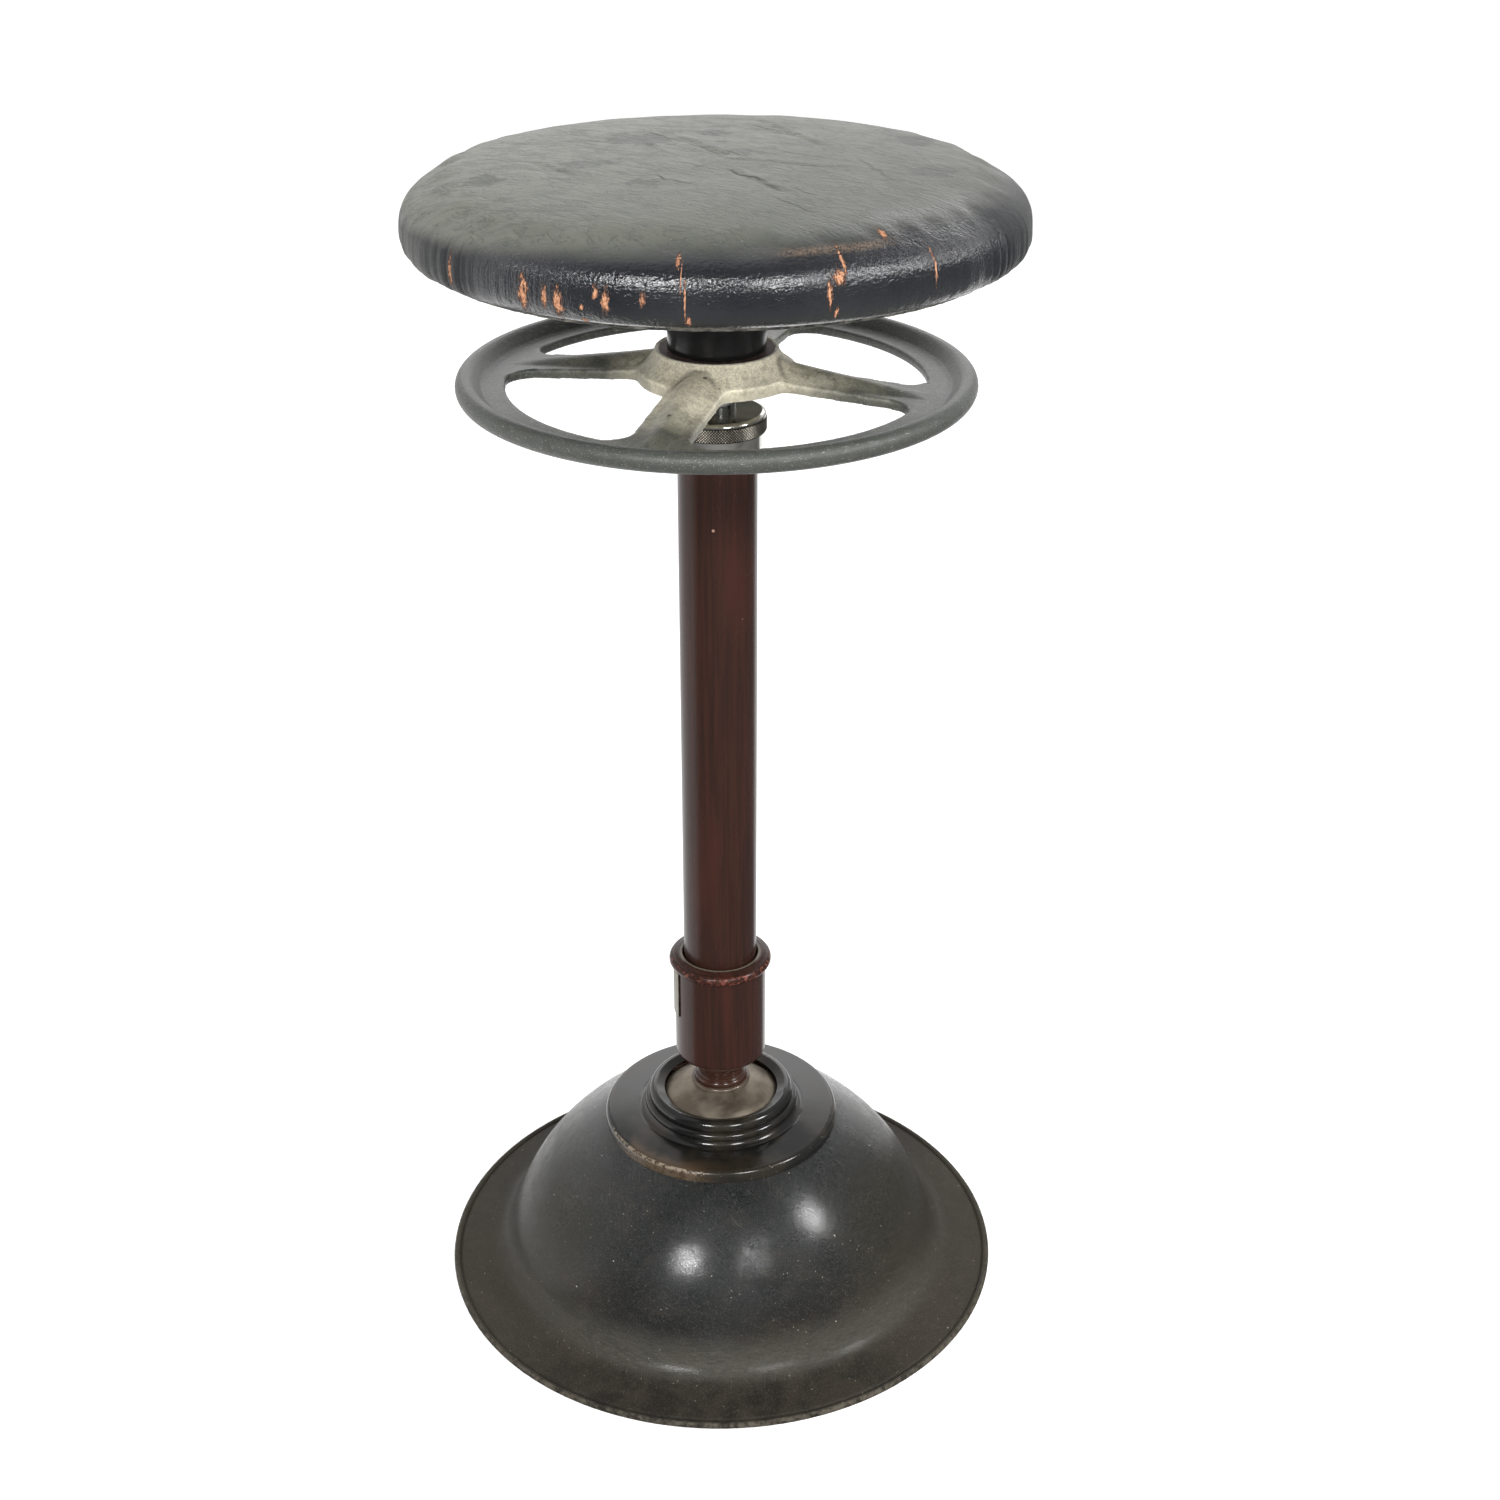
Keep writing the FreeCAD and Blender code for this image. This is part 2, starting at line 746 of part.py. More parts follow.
def wheel_profile():
    # Radius and height above the middle of the rim, once round the section.
    hub_height = hub_top - rim_height
    boss_low = hub_bottom - rim_height
    rim = (wheel_radius - rim_bead_radius, 0)
    web_low = web_top - web_thickness
    skirt_low = web_low + dish_rise
    skirt_high = web_top + dish_rise
    low_reach = math.sqrt(rim_bead_radius ** 2 - web_low ** 2)
    web_join = on_bead(rim, rim_bead_radius, rim_join_angle)
    lip_inner = hub_lip_radius - hub_lip_width
    cove_reach, cove_in, cove_up = hub_cove
    return [
        (spindle_bore, boss_low),
        (hub_boss_radius, boss_low),
        (hub_boss_radius, boss_low + hub_boss_height),
        (hub_skirt_radius, skirt_low),
        (web_inner_radius, web_low),
        (rim[0] - low_reach, web_low),
        on_bead(rim, rim_bead_radius, -90) + (wheel_radius, 0),
        on_bead(rim, rim_bead_radius, 90) + web_join,
        (web_join[0] - rim_groove[0], web_top - rim_groove[1]),
        (web_inner_radius, web_top),
        (hub_skirt_radius + cove_reach, skirt_high),
        (hub_skirt_radius - cove_in, skirt_high + cove_up, hub_lip_radius, hub_height),
        (hub_lip_radius, hub_height + hub_lip_height),
        (lip_inner, hub_height + hub_lip_height),
        (lip_inner, hub_height),
        (spindle_bore, hub_height),
    ]


def raised(corners, height):
    # The same corners, with every height measured from a new level.
    moved = []
    for corner in corners:
        values = [value + height * (index % 2) for index, value in enumerate(corner)]
        moved.append(tuple(values))
    return moved


def hand_wheel():
    wheel = turned(*raised(wheel_profile(), rim_height)).cut(wheel_windows())
    wheel = wheel.fuse(around(spoke_rib(), spoke_count, spoke_angle))
    bore = Part.makeCylinder(spindle_bore, 2 * hub_length, FreeCAD.Vector(0, 0, hub_bottom - hub_length))
    recess = ring(0, hub_lip_radius - hub_lip_width, hub_top, hub_top + hub_length)
    return wheel.cut([bore, recess, wheel_pin(running_gap)]).removeSplitter()


def thrust_washer():
    return ring(journal_radius + seat_gap, washer_radius, washer_bottom, washer_bottom + washer_thickness)


def boss_screws(grow=0.0):
    seat_height = boss_top - boss_flange_thickness
    screw = countersunk_screw(
        boss_screw_radius, boss_screw_head, boss_screw_length, seat_height, boss_screw_circle, grow
    )
    return around(screw, boss_screw_count, 45.0)


def seat_boss():
    flange_bottom = boss_top - boss_flange_thickness
    flare_bottom = flange_bottom - boss_flare
    flare_radius_top = boss_radius + boss_flare
    body = turned(
        (journal_radius + running_gap, boss_bottom),
        (boss_radius - boss_chamfer, boss_bottom),
        (boss_radius, boss_bottom + boss_chamfer),
        (boss_radius, flare_bottom),
        (boss_radius + 0.29 * boss_flare, flare_bottom + 0.71 * boss_flare, flare_radius_top, flange_bottom),
        (boss_flange_radius, flange_bottom),
        (boss_flange_radius, boss_top),
        (boss_pocket_radius, boss_top),
        (boss_pocket_radius, pocket_floor),
        (journal_radius + running_gap, pocket_floor),
    )
    return body.cut(boss_screws(running_gap))


def retaining_washer():
    bottom = pocket_floor + 2 * touch_gap
    return ring(thread_radius + running_gap, retaining_washer_radius, bottom, bottom + retaining_washer_thickness)


def retaining_nut():
    bottom = pocket_floor + 3 * touch_gap + retaining_washer_thickness
    corner = retaining_nut_flats / math.sqrt(3)
    points = []
    for index in range(7):
        angle = math.radians(60 * index)
        points.append(FreeCAD.Vector(corner * math.cos(angle), corner * math.sin(angle), bottom))
    face = Part.Face(Part.makePolygon(points))
    hexagon = face.extrude(FreeCAD.Vector(0, 0, retaining_nut_height))
    hole = Part.makeCylinder(
        thread_radius + running_gap, 3 * retaining_nut_height,
        FreeCAD.Vector(0, 0, bottom - retaining_nut_height),
    )
    return hexagon.cut(hole)


def seat_curve(inset, spans=8):
    # The crowned top as a flattened oval, from the axis out to the widest line.
    across = seat_radius - inset
    up = seat_rise - inset
    points = []
    for index in range(spans + 1):
        angle = 0.5 * math.pi * index / spans
        out = max(math.sin(angle), 0.0) ** (2 / seat_power)
        lift = max(math.cos(angle), 0.0) ** (2 / seat_power)
        points.append(at(across * out, waist_height + up * lift))
    points[-1] = at(across, waist_height)
    curve = Part.BSplineCurve()
    curve.interpolate(Points=points, InitialTangent=at(1, 0), FinalTangent=at(0, -1))
    return curve.toShape()


def seat_side(inset, bottom):
    # From the widest line down to the bottom edge, as a quarter oval.
    out = seat_radius - inset
    inside = seat_bottom_radius - inset
    depth = waist_height - bottom
    middle = (
        inside + (out - inside) * seat_side_middle[0],
        waist_height - depth * seat_side_middle[1],
    )
    return outline_edges([(out, waist_height), middle + (inside, bottom)])


def upholstery_tacks(grow=0.0):
    circle = hem_inner_radius + tack_inset
    top = hem_bottom - touch_gap
    tack = turned(
        (0, top - tack_head_height),
        (tack_head_radius, top),
        (tack_shank_radius + grow, top),
        (tack_shank_radius + grow, top + tack_length),
        (0, top + tack_length),
    )
    tack.translate(FreeCAD.Vector(circle, 0, 0))
    return around(tack, tack_count)


def seat_cover():
    edges = [seat_curve(0)]
    edges += seat_side(0, hem_bottom)
    edges += outline_edges([
        (seat_bottom_radius, hem_bottom),
        (hem_inner_radius, hem_bottom),
        (hem_inner_radius, hem_bottom + leather),
        (seat_bottom_radius - leather, hem_bottom + leather),
    ])
    edges += seat_side(leather, hem_bottom + leather)
    edges.append(seat_curve(leather))
    crown = waist_height + seat_rise
    edges += outline_edges([(0, crown - leather), (0, crown)])
    return revolve(edges).cut(upholstery_tacks(running_gap))


def seat_padding():
    inset = leather + seat_gap
    bottom = board_bottom + seat_gap
    shelf = board_top + seat_gap
    inner = board_radius + seat_gap
    edges = [seat_curve(inset)]
    edges += seat_side(inset, bottom)
    edges += outline_edges([
        (seat_bottom_radius - inset, bottom),
        (inner, bottom),
        (inner, shelf),
        (0, shelf),
        (0, waist_height + seat_rise - inset),
    ])
    return revolve(edges)


def seat_board():
    board = Part.makeCylinder(board_radius, board_thickness, FreeCAD.Vector(0, 0, board_bottom))
    return board.cut(boss_screws(running_gap) + upholstery_tacks(running_gap))


def underside_lining():
    top = board_bottom - touch_gap
    return ring(
        boss_flange_radius + seat_gap, hem_inner_radius - seat_gap, top - lining_thickness, top
    )


pieces = {
    "bell_cover": bell_cover(),
    "ballast_casting": ballast_casting(),
    "socket_cap": socket_cap(),
    "upper_liner": liner(upper_liner_angles),
    "lower_liner": liner(lower_liner_angles),
    "pressure_cup": pressure_cup(),
    "disc_springs": Part.makeCompound(disc_springs()),
    "spring_plate": spring_plate(),
    "plate_screws": Part.makeCompound(plate_screws()),
    "ball_stud": ball_stud(),
    "column_pin": column_pin(),
    "column_tube": column_tube(),
    "column_ferrule": column_ferrule(),
    "ferrule_screw": ferrule_screw(),
    "knurled_collar": knurled_collar(),
    "inner_tube": inner_tube(),
    "guide_bush": guide_bush(),
    "lift_nut": lift_nut(),
    "spindle": spindle(),
    "spindle_stop": spindle_stop(),
    "stop_pin": stop_pin(),
    "hand_wheel": hand_wheel(),
    "wheel_pin": wheel_pin(),
    "thrust_washer": thrust_washer(),
    "seat_boss": seat_boss(),
    "boss_screws": Part.makeCompound(boss_screws()),
    "retaining_washer": retaining_washer(),
    "retaining_nut": retaining_nut(),
    "seat_board": seat_board(),
    "seat_padding": seat_padding(),
    "seat_cover": seat_cover(),
    "underside_lining": underside_lining(),
    "upholstery_tacks": Part.makeCompound(upholstery_tacks()),
}

os.makedirs("parts", exist_ok=True)
for name, shape in pieces.items():
    shape.exportStep("parts/" + name + ".step")
    print(name, len(shape.Solids), "solid", round(shape.Volume / 1000, 1), "cm3")
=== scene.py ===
import json
import math

import bpy
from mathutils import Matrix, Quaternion, Vector, noise

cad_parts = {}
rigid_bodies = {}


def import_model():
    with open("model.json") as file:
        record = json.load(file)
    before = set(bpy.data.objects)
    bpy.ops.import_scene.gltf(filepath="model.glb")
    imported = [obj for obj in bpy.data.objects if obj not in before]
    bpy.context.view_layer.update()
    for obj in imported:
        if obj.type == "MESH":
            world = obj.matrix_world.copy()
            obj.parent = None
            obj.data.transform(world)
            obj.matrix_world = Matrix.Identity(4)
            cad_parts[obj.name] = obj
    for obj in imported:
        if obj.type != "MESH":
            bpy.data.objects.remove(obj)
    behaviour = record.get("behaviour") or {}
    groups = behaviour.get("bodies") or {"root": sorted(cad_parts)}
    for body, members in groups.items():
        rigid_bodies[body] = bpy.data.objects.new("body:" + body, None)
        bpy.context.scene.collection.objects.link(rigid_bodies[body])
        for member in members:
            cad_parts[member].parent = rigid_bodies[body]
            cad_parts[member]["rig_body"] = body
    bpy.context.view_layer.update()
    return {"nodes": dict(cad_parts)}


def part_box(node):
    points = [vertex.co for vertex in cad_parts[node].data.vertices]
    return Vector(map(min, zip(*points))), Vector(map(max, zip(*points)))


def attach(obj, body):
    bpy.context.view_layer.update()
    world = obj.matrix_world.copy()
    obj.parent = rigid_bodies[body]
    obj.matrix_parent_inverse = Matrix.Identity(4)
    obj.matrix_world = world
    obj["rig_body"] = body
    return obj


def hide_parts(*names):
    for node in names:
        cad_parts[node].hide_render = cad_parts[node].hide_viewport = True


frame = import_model()

# The stool's finishes and soft parts, in metres. Places come from the frame's own nodes.
MM = 0.001
WELD = 0.01 * MM

seat_low, seat_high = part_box("seat_cover")
SEAT_RADIUS = seat_high.x
SEAT_UNDERSIDE = seat_low.z
SEAT_CROWN = seat_high.z
SEAT_WAIST = SEAT_UNDERSIDE + 12.5 * MM
SEAT_FOOT_RADIUS = SEAT_RADIUS - 12.7 * MM
HEM_WIDTH = 16.0 * MM
LEATHER = 1.6 * MM

wheel_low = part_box("hand_wheel")[0]
spindle_low, spindle_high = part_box("spindle")
collar_low, collar_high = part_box("knurled_collar")
ferrule_low, ferrule_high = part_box("column_ferrule")
cap_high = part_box("socket_cap")[1]
bell_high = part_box("bell_cover")[1]
tube_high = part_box("column_tube")[1]


# Hand work

def deselect():
    bpy.ops.object.select_all(action="DESELECT")


def take(piece):
    """Leaves one piece selected and active."""
    deselect()
    piece.select_set(True)
    bpy.context.view_layer.objects.active = piece


def settle(piece):
    """Moves a piece's place into its mesh."""
    take(piece)
    bpy.ops.object.transform_apply(location=True, rotation=True, scale=True)
    return piece


def work(select="SELECT"):
    """Opens the active piece for editing, with all of it or nothing selected."""
    bpy.ops.object.mode_set(mode="EDIT")
    bpy.ops.mesh.select_all(action=select)


def put_down():
    bpy.ops.object.mode_set(mode="OBJECT")


def apply_last(piece):
    take(piece)
    bpy.ops.object.modifier_apply(modifier=piece.modifiers[-1].name)


def change(piece, kind, **settings):
    """Gives a piece a modifier and applies it."""
    modifier = piece.modifiers.new(kind.lower(), kind)
    for name, value in settings.items():
        setattr(modifier, name, value)
    apply_last(piece)


def round_points(middle, radius, start, stop, steps):
    """Points along a round of an outline; angles in degrees from straight out, upwards."""
    points = []
    for step in range(steps + 1):
        angle = math.radians(start + (stop - start) * step / steps)
        points.append((middle[0] + radius * math.cos(angle), middle[1] + radius * math.sin(angle)))
    return points


def turn(name, outline, sides=160):
    """A turned piece: one ring, extruded and scaled from point to point of its outline."""
    deselect()
    radius, height = outline[0]
    bpy.ops.mesh.primitive_circle_add(vertices=sides, radius=radius, location=(0, 0, height))
    piece = bpy.context.object
    piece.name = name
    settle(piece)
    work()
    for next_radius, next_height in outline[1:]:
        share = next_radius / radius
        bpy.ops.mesh.extrude_edges_move()
        bpy.ops.transform.translate(value=(0, 0, next_height - height))
        bpy.ops.transform.resize(value=(share, share, 1), center_override=(0, 0, next_height))
        radius, height = next_radius, next_height
    bpy.ops.mesh.select_all(action="SELECT")
    bpy.ops.mesh.remove_doubles(threshold=WELD)
    bpy.ops.mesh.normals_make_consistent(inside=False)
    put_down()
    return piece


def close_holes(piece):
    take(piece)
    work()
    bpy.ops.mesh.fill_holes(sides=0)
    bpy.ops.mesh.normals_make_consistent(inside=False)
    put_down()


def smooth(piece, angle=40):
    take(piece)
    bpy.ops.object.shade_smooth_by_angle(angle=math.radians(angle))


def join(name, *pieces):
    deselect()
    for piece in pieces:
        piece.select_set(True)
    bpy.context.view_layer.objects.active = pieces[0]
    bpy.ops.object.join()
    pieces[0].name = name
    return pieces[0]


def wave(angle, pace, along=0.0, seed=0.0):
    """A smooth uneven wave round the axis, from -1 to 1, with about pace swings per radian."""
    return noise.noise(Vector((pace * math.cos(angle), pace * math.sin(angle), along + seed)))


def ease(value, low, high):
    """0 below low, 1 above high and a smooth step between."""
    share = min(max((value - low) / (high - low), 0.0), 1.0)
    return share * share * (3 - 2 * share)


# Finishes

# Light of the studio: what fills in from all round, the backdrop, the ceiling and the floor's paper
FILL = 0.60
BACKGROUND = 1.0
CEILING = 0.55
PAPER = 0.8
# What mirrors show in a sector, in degrees from ahead to the right: dim walls, ceiling and floor
DIM_SECTOR = (-70, 136)
DIM = 0.23
DIM_OVERHEAD = 0.06
DIM_FLOOR = 0.18
# The glow round the soft boxes, from where to where it grows, and the gloomy gap beside them
HALO = 0.17
HALO_EDGE = (-42, -24)
GLOOM = 0.45
GLOOM_GAP = ((-66, -58), (-34, -42))

# The node tree that is being laid out
bench = None


def take_up(owner):
    """Puts the nodes of a material or of the world on the bench."""
    global bench
    owner.use_nodes = True
    bench = owner.node_tree


def plug(socket, value):
    """Sets a socket, or links it to the socket that feeds it."""
    if isinstance(value, bpy.types.NodeSocket):
        bench.links.new(value, socket)
    else:
        socket.default_value = value


def lay(kind, inputs=(), **settings):
    """Lays one node. An input is a value, or the socket that feeds it."""
    node = bench.nodes.new("ShaderNode" + kind)
    for name, value in settings.items():
        setattr(node, name, value)
    for name, value in dict(inputs).items():
        plug(node.inputs[name], value)
    return node


def finish(name, **constants):
    """A new material and its shader; what is constant is set on the shader's own sockets."""
    material = bpy.data.materials.new(name)
    take_up(material)
    shader = bench.nodes["Principled BSDF"]
    feed(shader, **constants)
    return material, shader


def feed(shader, **sockets):
    for name, value in sockets.items():
        plug(shader.inputs[name.replace("_", " ")], value)


def here():
    """The shaded point in the piece's own coordinates."""
    return lay("TexCoord").outputs["Object"]


def spot(size, turned=(0, 0, 0), middle=(0, 0, 0), point=None):
    """A point seen from a middle, turned and divided by a size, one number or three; in millimetres."""
    size = size if isinstance(size, tuple) else (size,) * 3
    inputs = {"Vector": here() if point is None else point, "Rotation": turned}
    inputs["Scale"] = tuple(part * MM for part in size)
    inputs["Location"] = tuple(part * MM for part in middle)
    return lay("Mapping", inputs, vector_type="TEXTURE").outputs["Vector"]


def cloud(size, detail=3.0, rough=0.5, turned=(0, 0, 0), bend=0.0, out="Fac"):
    """Noise from 0 to 1; size is the feature's size in millimetres, one number or three."""
    return lay("TexNoise", {"Vector": spot(size, turned), "Scale": 1.0, "Detail": detail,
            "Roughness": rough, "Distortion": bend}).outputs[out]


def cells(size, feature="F1"):
    """Distance pattern of scattered cells, with their size in millimetres."""
    return lay("TexVoronoi", {"Vector": spot(size), "Scale": 1.0}, feature=feature).outputs["Distance"]


def sums(operation, *values):
    node = lay("Math", operation=operation)
    for socket, value in zip(node.inputs, values):
        plug(socket, value)
    return node.outputs[0]


def scaled(value, share, start):
    """A value times a share, plus where it starts."""
    return sums("MULTIPLY_ADD", value, share, start)


def times(product, *shares):
    for share in shares:
        product = sums("MULTIPLY", product, share)
    return product


def most(first, second):
    return sums("MAXIMUM", first, second)


def without(share):
    return sums("SUBTRACT", 1.0, share)


def band(value, low, high, bottom=0.0, top=1.0):
    """Eases a value from bottom to top as it goes from low to high."""
    inputs = {"Value": value, "From Min": low, "From Max": high, "To Min": bottom, "To Max": top}
    return lay("MapRange", inputs, interpolation_type="SMOOTHSTEP").outputs["Result"]


def past(angle, start, stop):
    """0 before a direction and 1 past it, eased between two angles in degrees."""
    return band(angle, math.radians(start), math.radians(stop))


def towards(angle, side):
    """1 on the side of the axis that is given in degrees, and -1 on the side away from it."""
    return sums("COSINE", sums("SUBTRACT", angle, math.radians(side - 360)))


def blend(share, first, second):
    """Mixes two numbers."""
    return lay("Mix", {"Factor": share, 2: first, 3: second}, data_type="FLOAT").outputs[0]


def tint(share, first, second):
    """Mixes two colours, each a triple or a socket."""
    first, second = ((*color, 1) if isinstance(color, tuple) else color for color in (first, second))
    return lay("Mix", {"Factor": share, 6: first, 7: second}, data_type="RGBA").outputs[2]


def relief(height, depth, under=None):
    """Turns a height from 0 to 1 into a surface relief of that depth in millimetres."""
    inputs = {"Height": height, "Distance": depth * MM, "Strength": 1.0}
    if under:
        inputs["Normal"] = under
    return lay("Bump", inputs).outputs["Normal"]


def rounds():
    """Distance from the axis, angle about it and height of the shaded point."""
    parts = lay("SeparateXYZ", {"Vector": here()})
    x, y, z = parts.outputs["X"], parts.outputs["Y"], parts.outputs["Z"]
    return sums("SQRT", sums("ADD", times(x, x), times(y, y))), sums("ARCTAN2", y, x), z


def scratches(length, width, turned, rare):
    """Thin straight marks: 1 on a scratch, 0 beside it; rare goes from 0.5 to 1."""
    return band(cloud((length, width, width), 1.0, turned=turned), rare, rare + 0.03)


def hairlines(size, turned, thin, bend=0.4, few=0.5):
    """Thin curved lines, 1 on a line; few, from 0 to 1, says how much of them is left out."""
    contour = sums("ABSOLUTE", sums("SUBTRACT", cloud(size, 2.0, turned=turned, bend=bend), 0.5))
    kept = band(cloud(1.3 * max(size)), 0.35 + 0.3 * few, 0.42 + 0.3 * few)
    return times(band(contour, 0.3 * thin, thin, 1.0, 0.0), kept)


# The worn places of the seat's side: angle, height above the underside, half width, half height
TORN = [
    (219.3, 16.5, 1.6, 8.0), (237.0, 15.0, 2.6, 8.0), (241.4, 15.0, 1.5, 5.0), (243.9, 13.0, 2.4, 6.5),
    (250.7, 20.5, 1.4, 3.0), (252.4, 16.5, 1.8, 5.5), (248.2, 12.5, 0.9, 1.2), (248.2, 4.5, 1.6, 1.6),
    (258.7, 19.0, 1.2, 3.4), (264.2, 36.0, 1.1, 2.6), (264.9, 29.0, 0.35, 6.0), (265.6, 19.0, 0.45, 9.0),
    (266.2, 8.5, 1.1, 2.5), (292.4, 34.0, 0.9, 5.0), (291.2, 27.5, 2.6, 3.6), (289.3, 20.0, 1.2, 7.0),
    (290.6, 10.0, 1.1, 2.6), (310.0, 25.0, 0.7, 8.0), (302.7, 42.3, 1.6, 1.6),
]
# The rubbed brown line: from and to in degrees, height above the underside and half height
SCUFF = (278.0, 307.0, 39.0, 1.6)
# Where the dull top turns into the polished side: its mean height over the floor, its rise, where it
# is highest, and the side in the middle of the polish
POLISH_LINE = (745.5 * MM, 13.5 * MM, 308.0)
POLISH_MIDDLE = 278.0
# Darker stains on the top, in millimetres: x, y, half length, half width, turn in degrees
STAINS = [
    (-45, 49, 24, 15, -35), (-69, -15, 22, 9, 25), (-2, 69, 11, 6, -20), (39, 68, 12, 5, -10),
    (11, 16, 12, 5, -30), (-36, -58, 14, 6, 60), (-127, -42, 16, 9, -60), (122, -20, 20, 11, 50),
    (118, 62, 22, 9, 75),
]
# Places where the top lies over itself, in millimetres: middle x, y, half length, turn in degrees, strength
TOP_FOLDS = [
    (-28, 55, 25, -53, 1.0), (-6, 23, 25, -56, 1.0), (18, -42, 21, -53, 1.0), (33, -67, 14, -64, 0.8),
    (-29, -47, 9, -67, 0.9), (-19, -56, 10, -34, 0.7), (30, 84, 18, -49, 0.8), (11, 13, 12, -45, 0.9),
    (41, -102, 22, -53, 0.6), (46, -75, 16, -58, 0.6), (-14, -17, 11, -41, 0.5), (89, -26, 36, -68, 0.5),
]


def swayed(size, detail, rough, reach):
    """The shaded point, shifted sideways by noise, so that what is laid there has ragged outlines."""
    drift = cloud(size, detail, rough, out="Color")
    sway = lay("VectorMath", {0: drift, 1: (0.5, 0.5, 0.5)}, operation="SUBTRACT").outputs[0]
    return lay("VectorMath", {0: sway, 1: (reach * MM, reach * MM, 0), 2: here()},
            operation="MULTIPLY_ADD").outputs[0]


def deeper(first, second):
    """The higher of two values, of which the first may be missing."""
    return second if first is None else most(first, second)


def torn_places(angle, height):
    """How deep the shaded point lies in the nearest torn place: over 0 inside, under 0 outside."""
    deepest = None
    for where, up, half_width, half_height in TORN:
        aside = sums("SUBTRACT", angle, math.radians(where - 360))
        across = times(aside, SEAT_RADIUS / (half_width * MM))
        middle = (SEAT_UNDERSIDE + up * MM) / (half_height * MM)
        along = scaled(height, 1 / (half_height * MM), -middle)
        square = scaled(across, across, times(along, along))
        deepest = deeper(deepest, without(sums("SQRT", square)))
    return deepest


def stains():
    """Soft dark places of the seat's top: 1 in the middle of one, 0 away from them."""
    moved = swayed(13, 6.0, 0.65, 48)
    deepest = None
    for x, y, half_length, half_width, turned in STAINS:
        middle = (x, y, SEAT_CROWN / MM)
        inside = spot((half_length, half_width, 60), (0, 0, math.radians(turned)), middle, moved)
        far = lay("VectorMath", {0: inside}, operation="LENGTH").outputs["Value"]
        deepest = deeper(deepest, band(far, 0.80, 1.05, 1.0, 0.0))
    return deepest


def top_folds():
    """Folds of the top: how high the leather lies beside each, and a painted shade line along its foot, 0 to
    1.
    """
    moved = swayed(14, 3.0, 0.5, 9)
    high, line = None, None
    for x, y, half_length, turned, strength in TOP_FOLDS:
        inside = spot((half_length, 1.4, 1000), (0, 0, math.radians(turned)), (x, y, 0), moved)
        parts = lay("SeparateXYZ", {"Vector": inside})
        fade = band(sums("ABSOLUTE", parts.outputs["X"]), 0.45, 1.0, strength, 0.0)
        across = parts.outputs["Y"]
        high = deeper(high, times(band(across, -0.9, 0.5), band(across, 0.5, 8.0, 1.0, 0.0), fade))
        # A painted shade line along the foot of each fold.
        foot = band(sums("ABSOLUTE", sums("ADD", across, 0.7)), 0.1, 0.9, 1.0, 0.0)
        line = deeper(line, times(foot, fade))
    return high, line


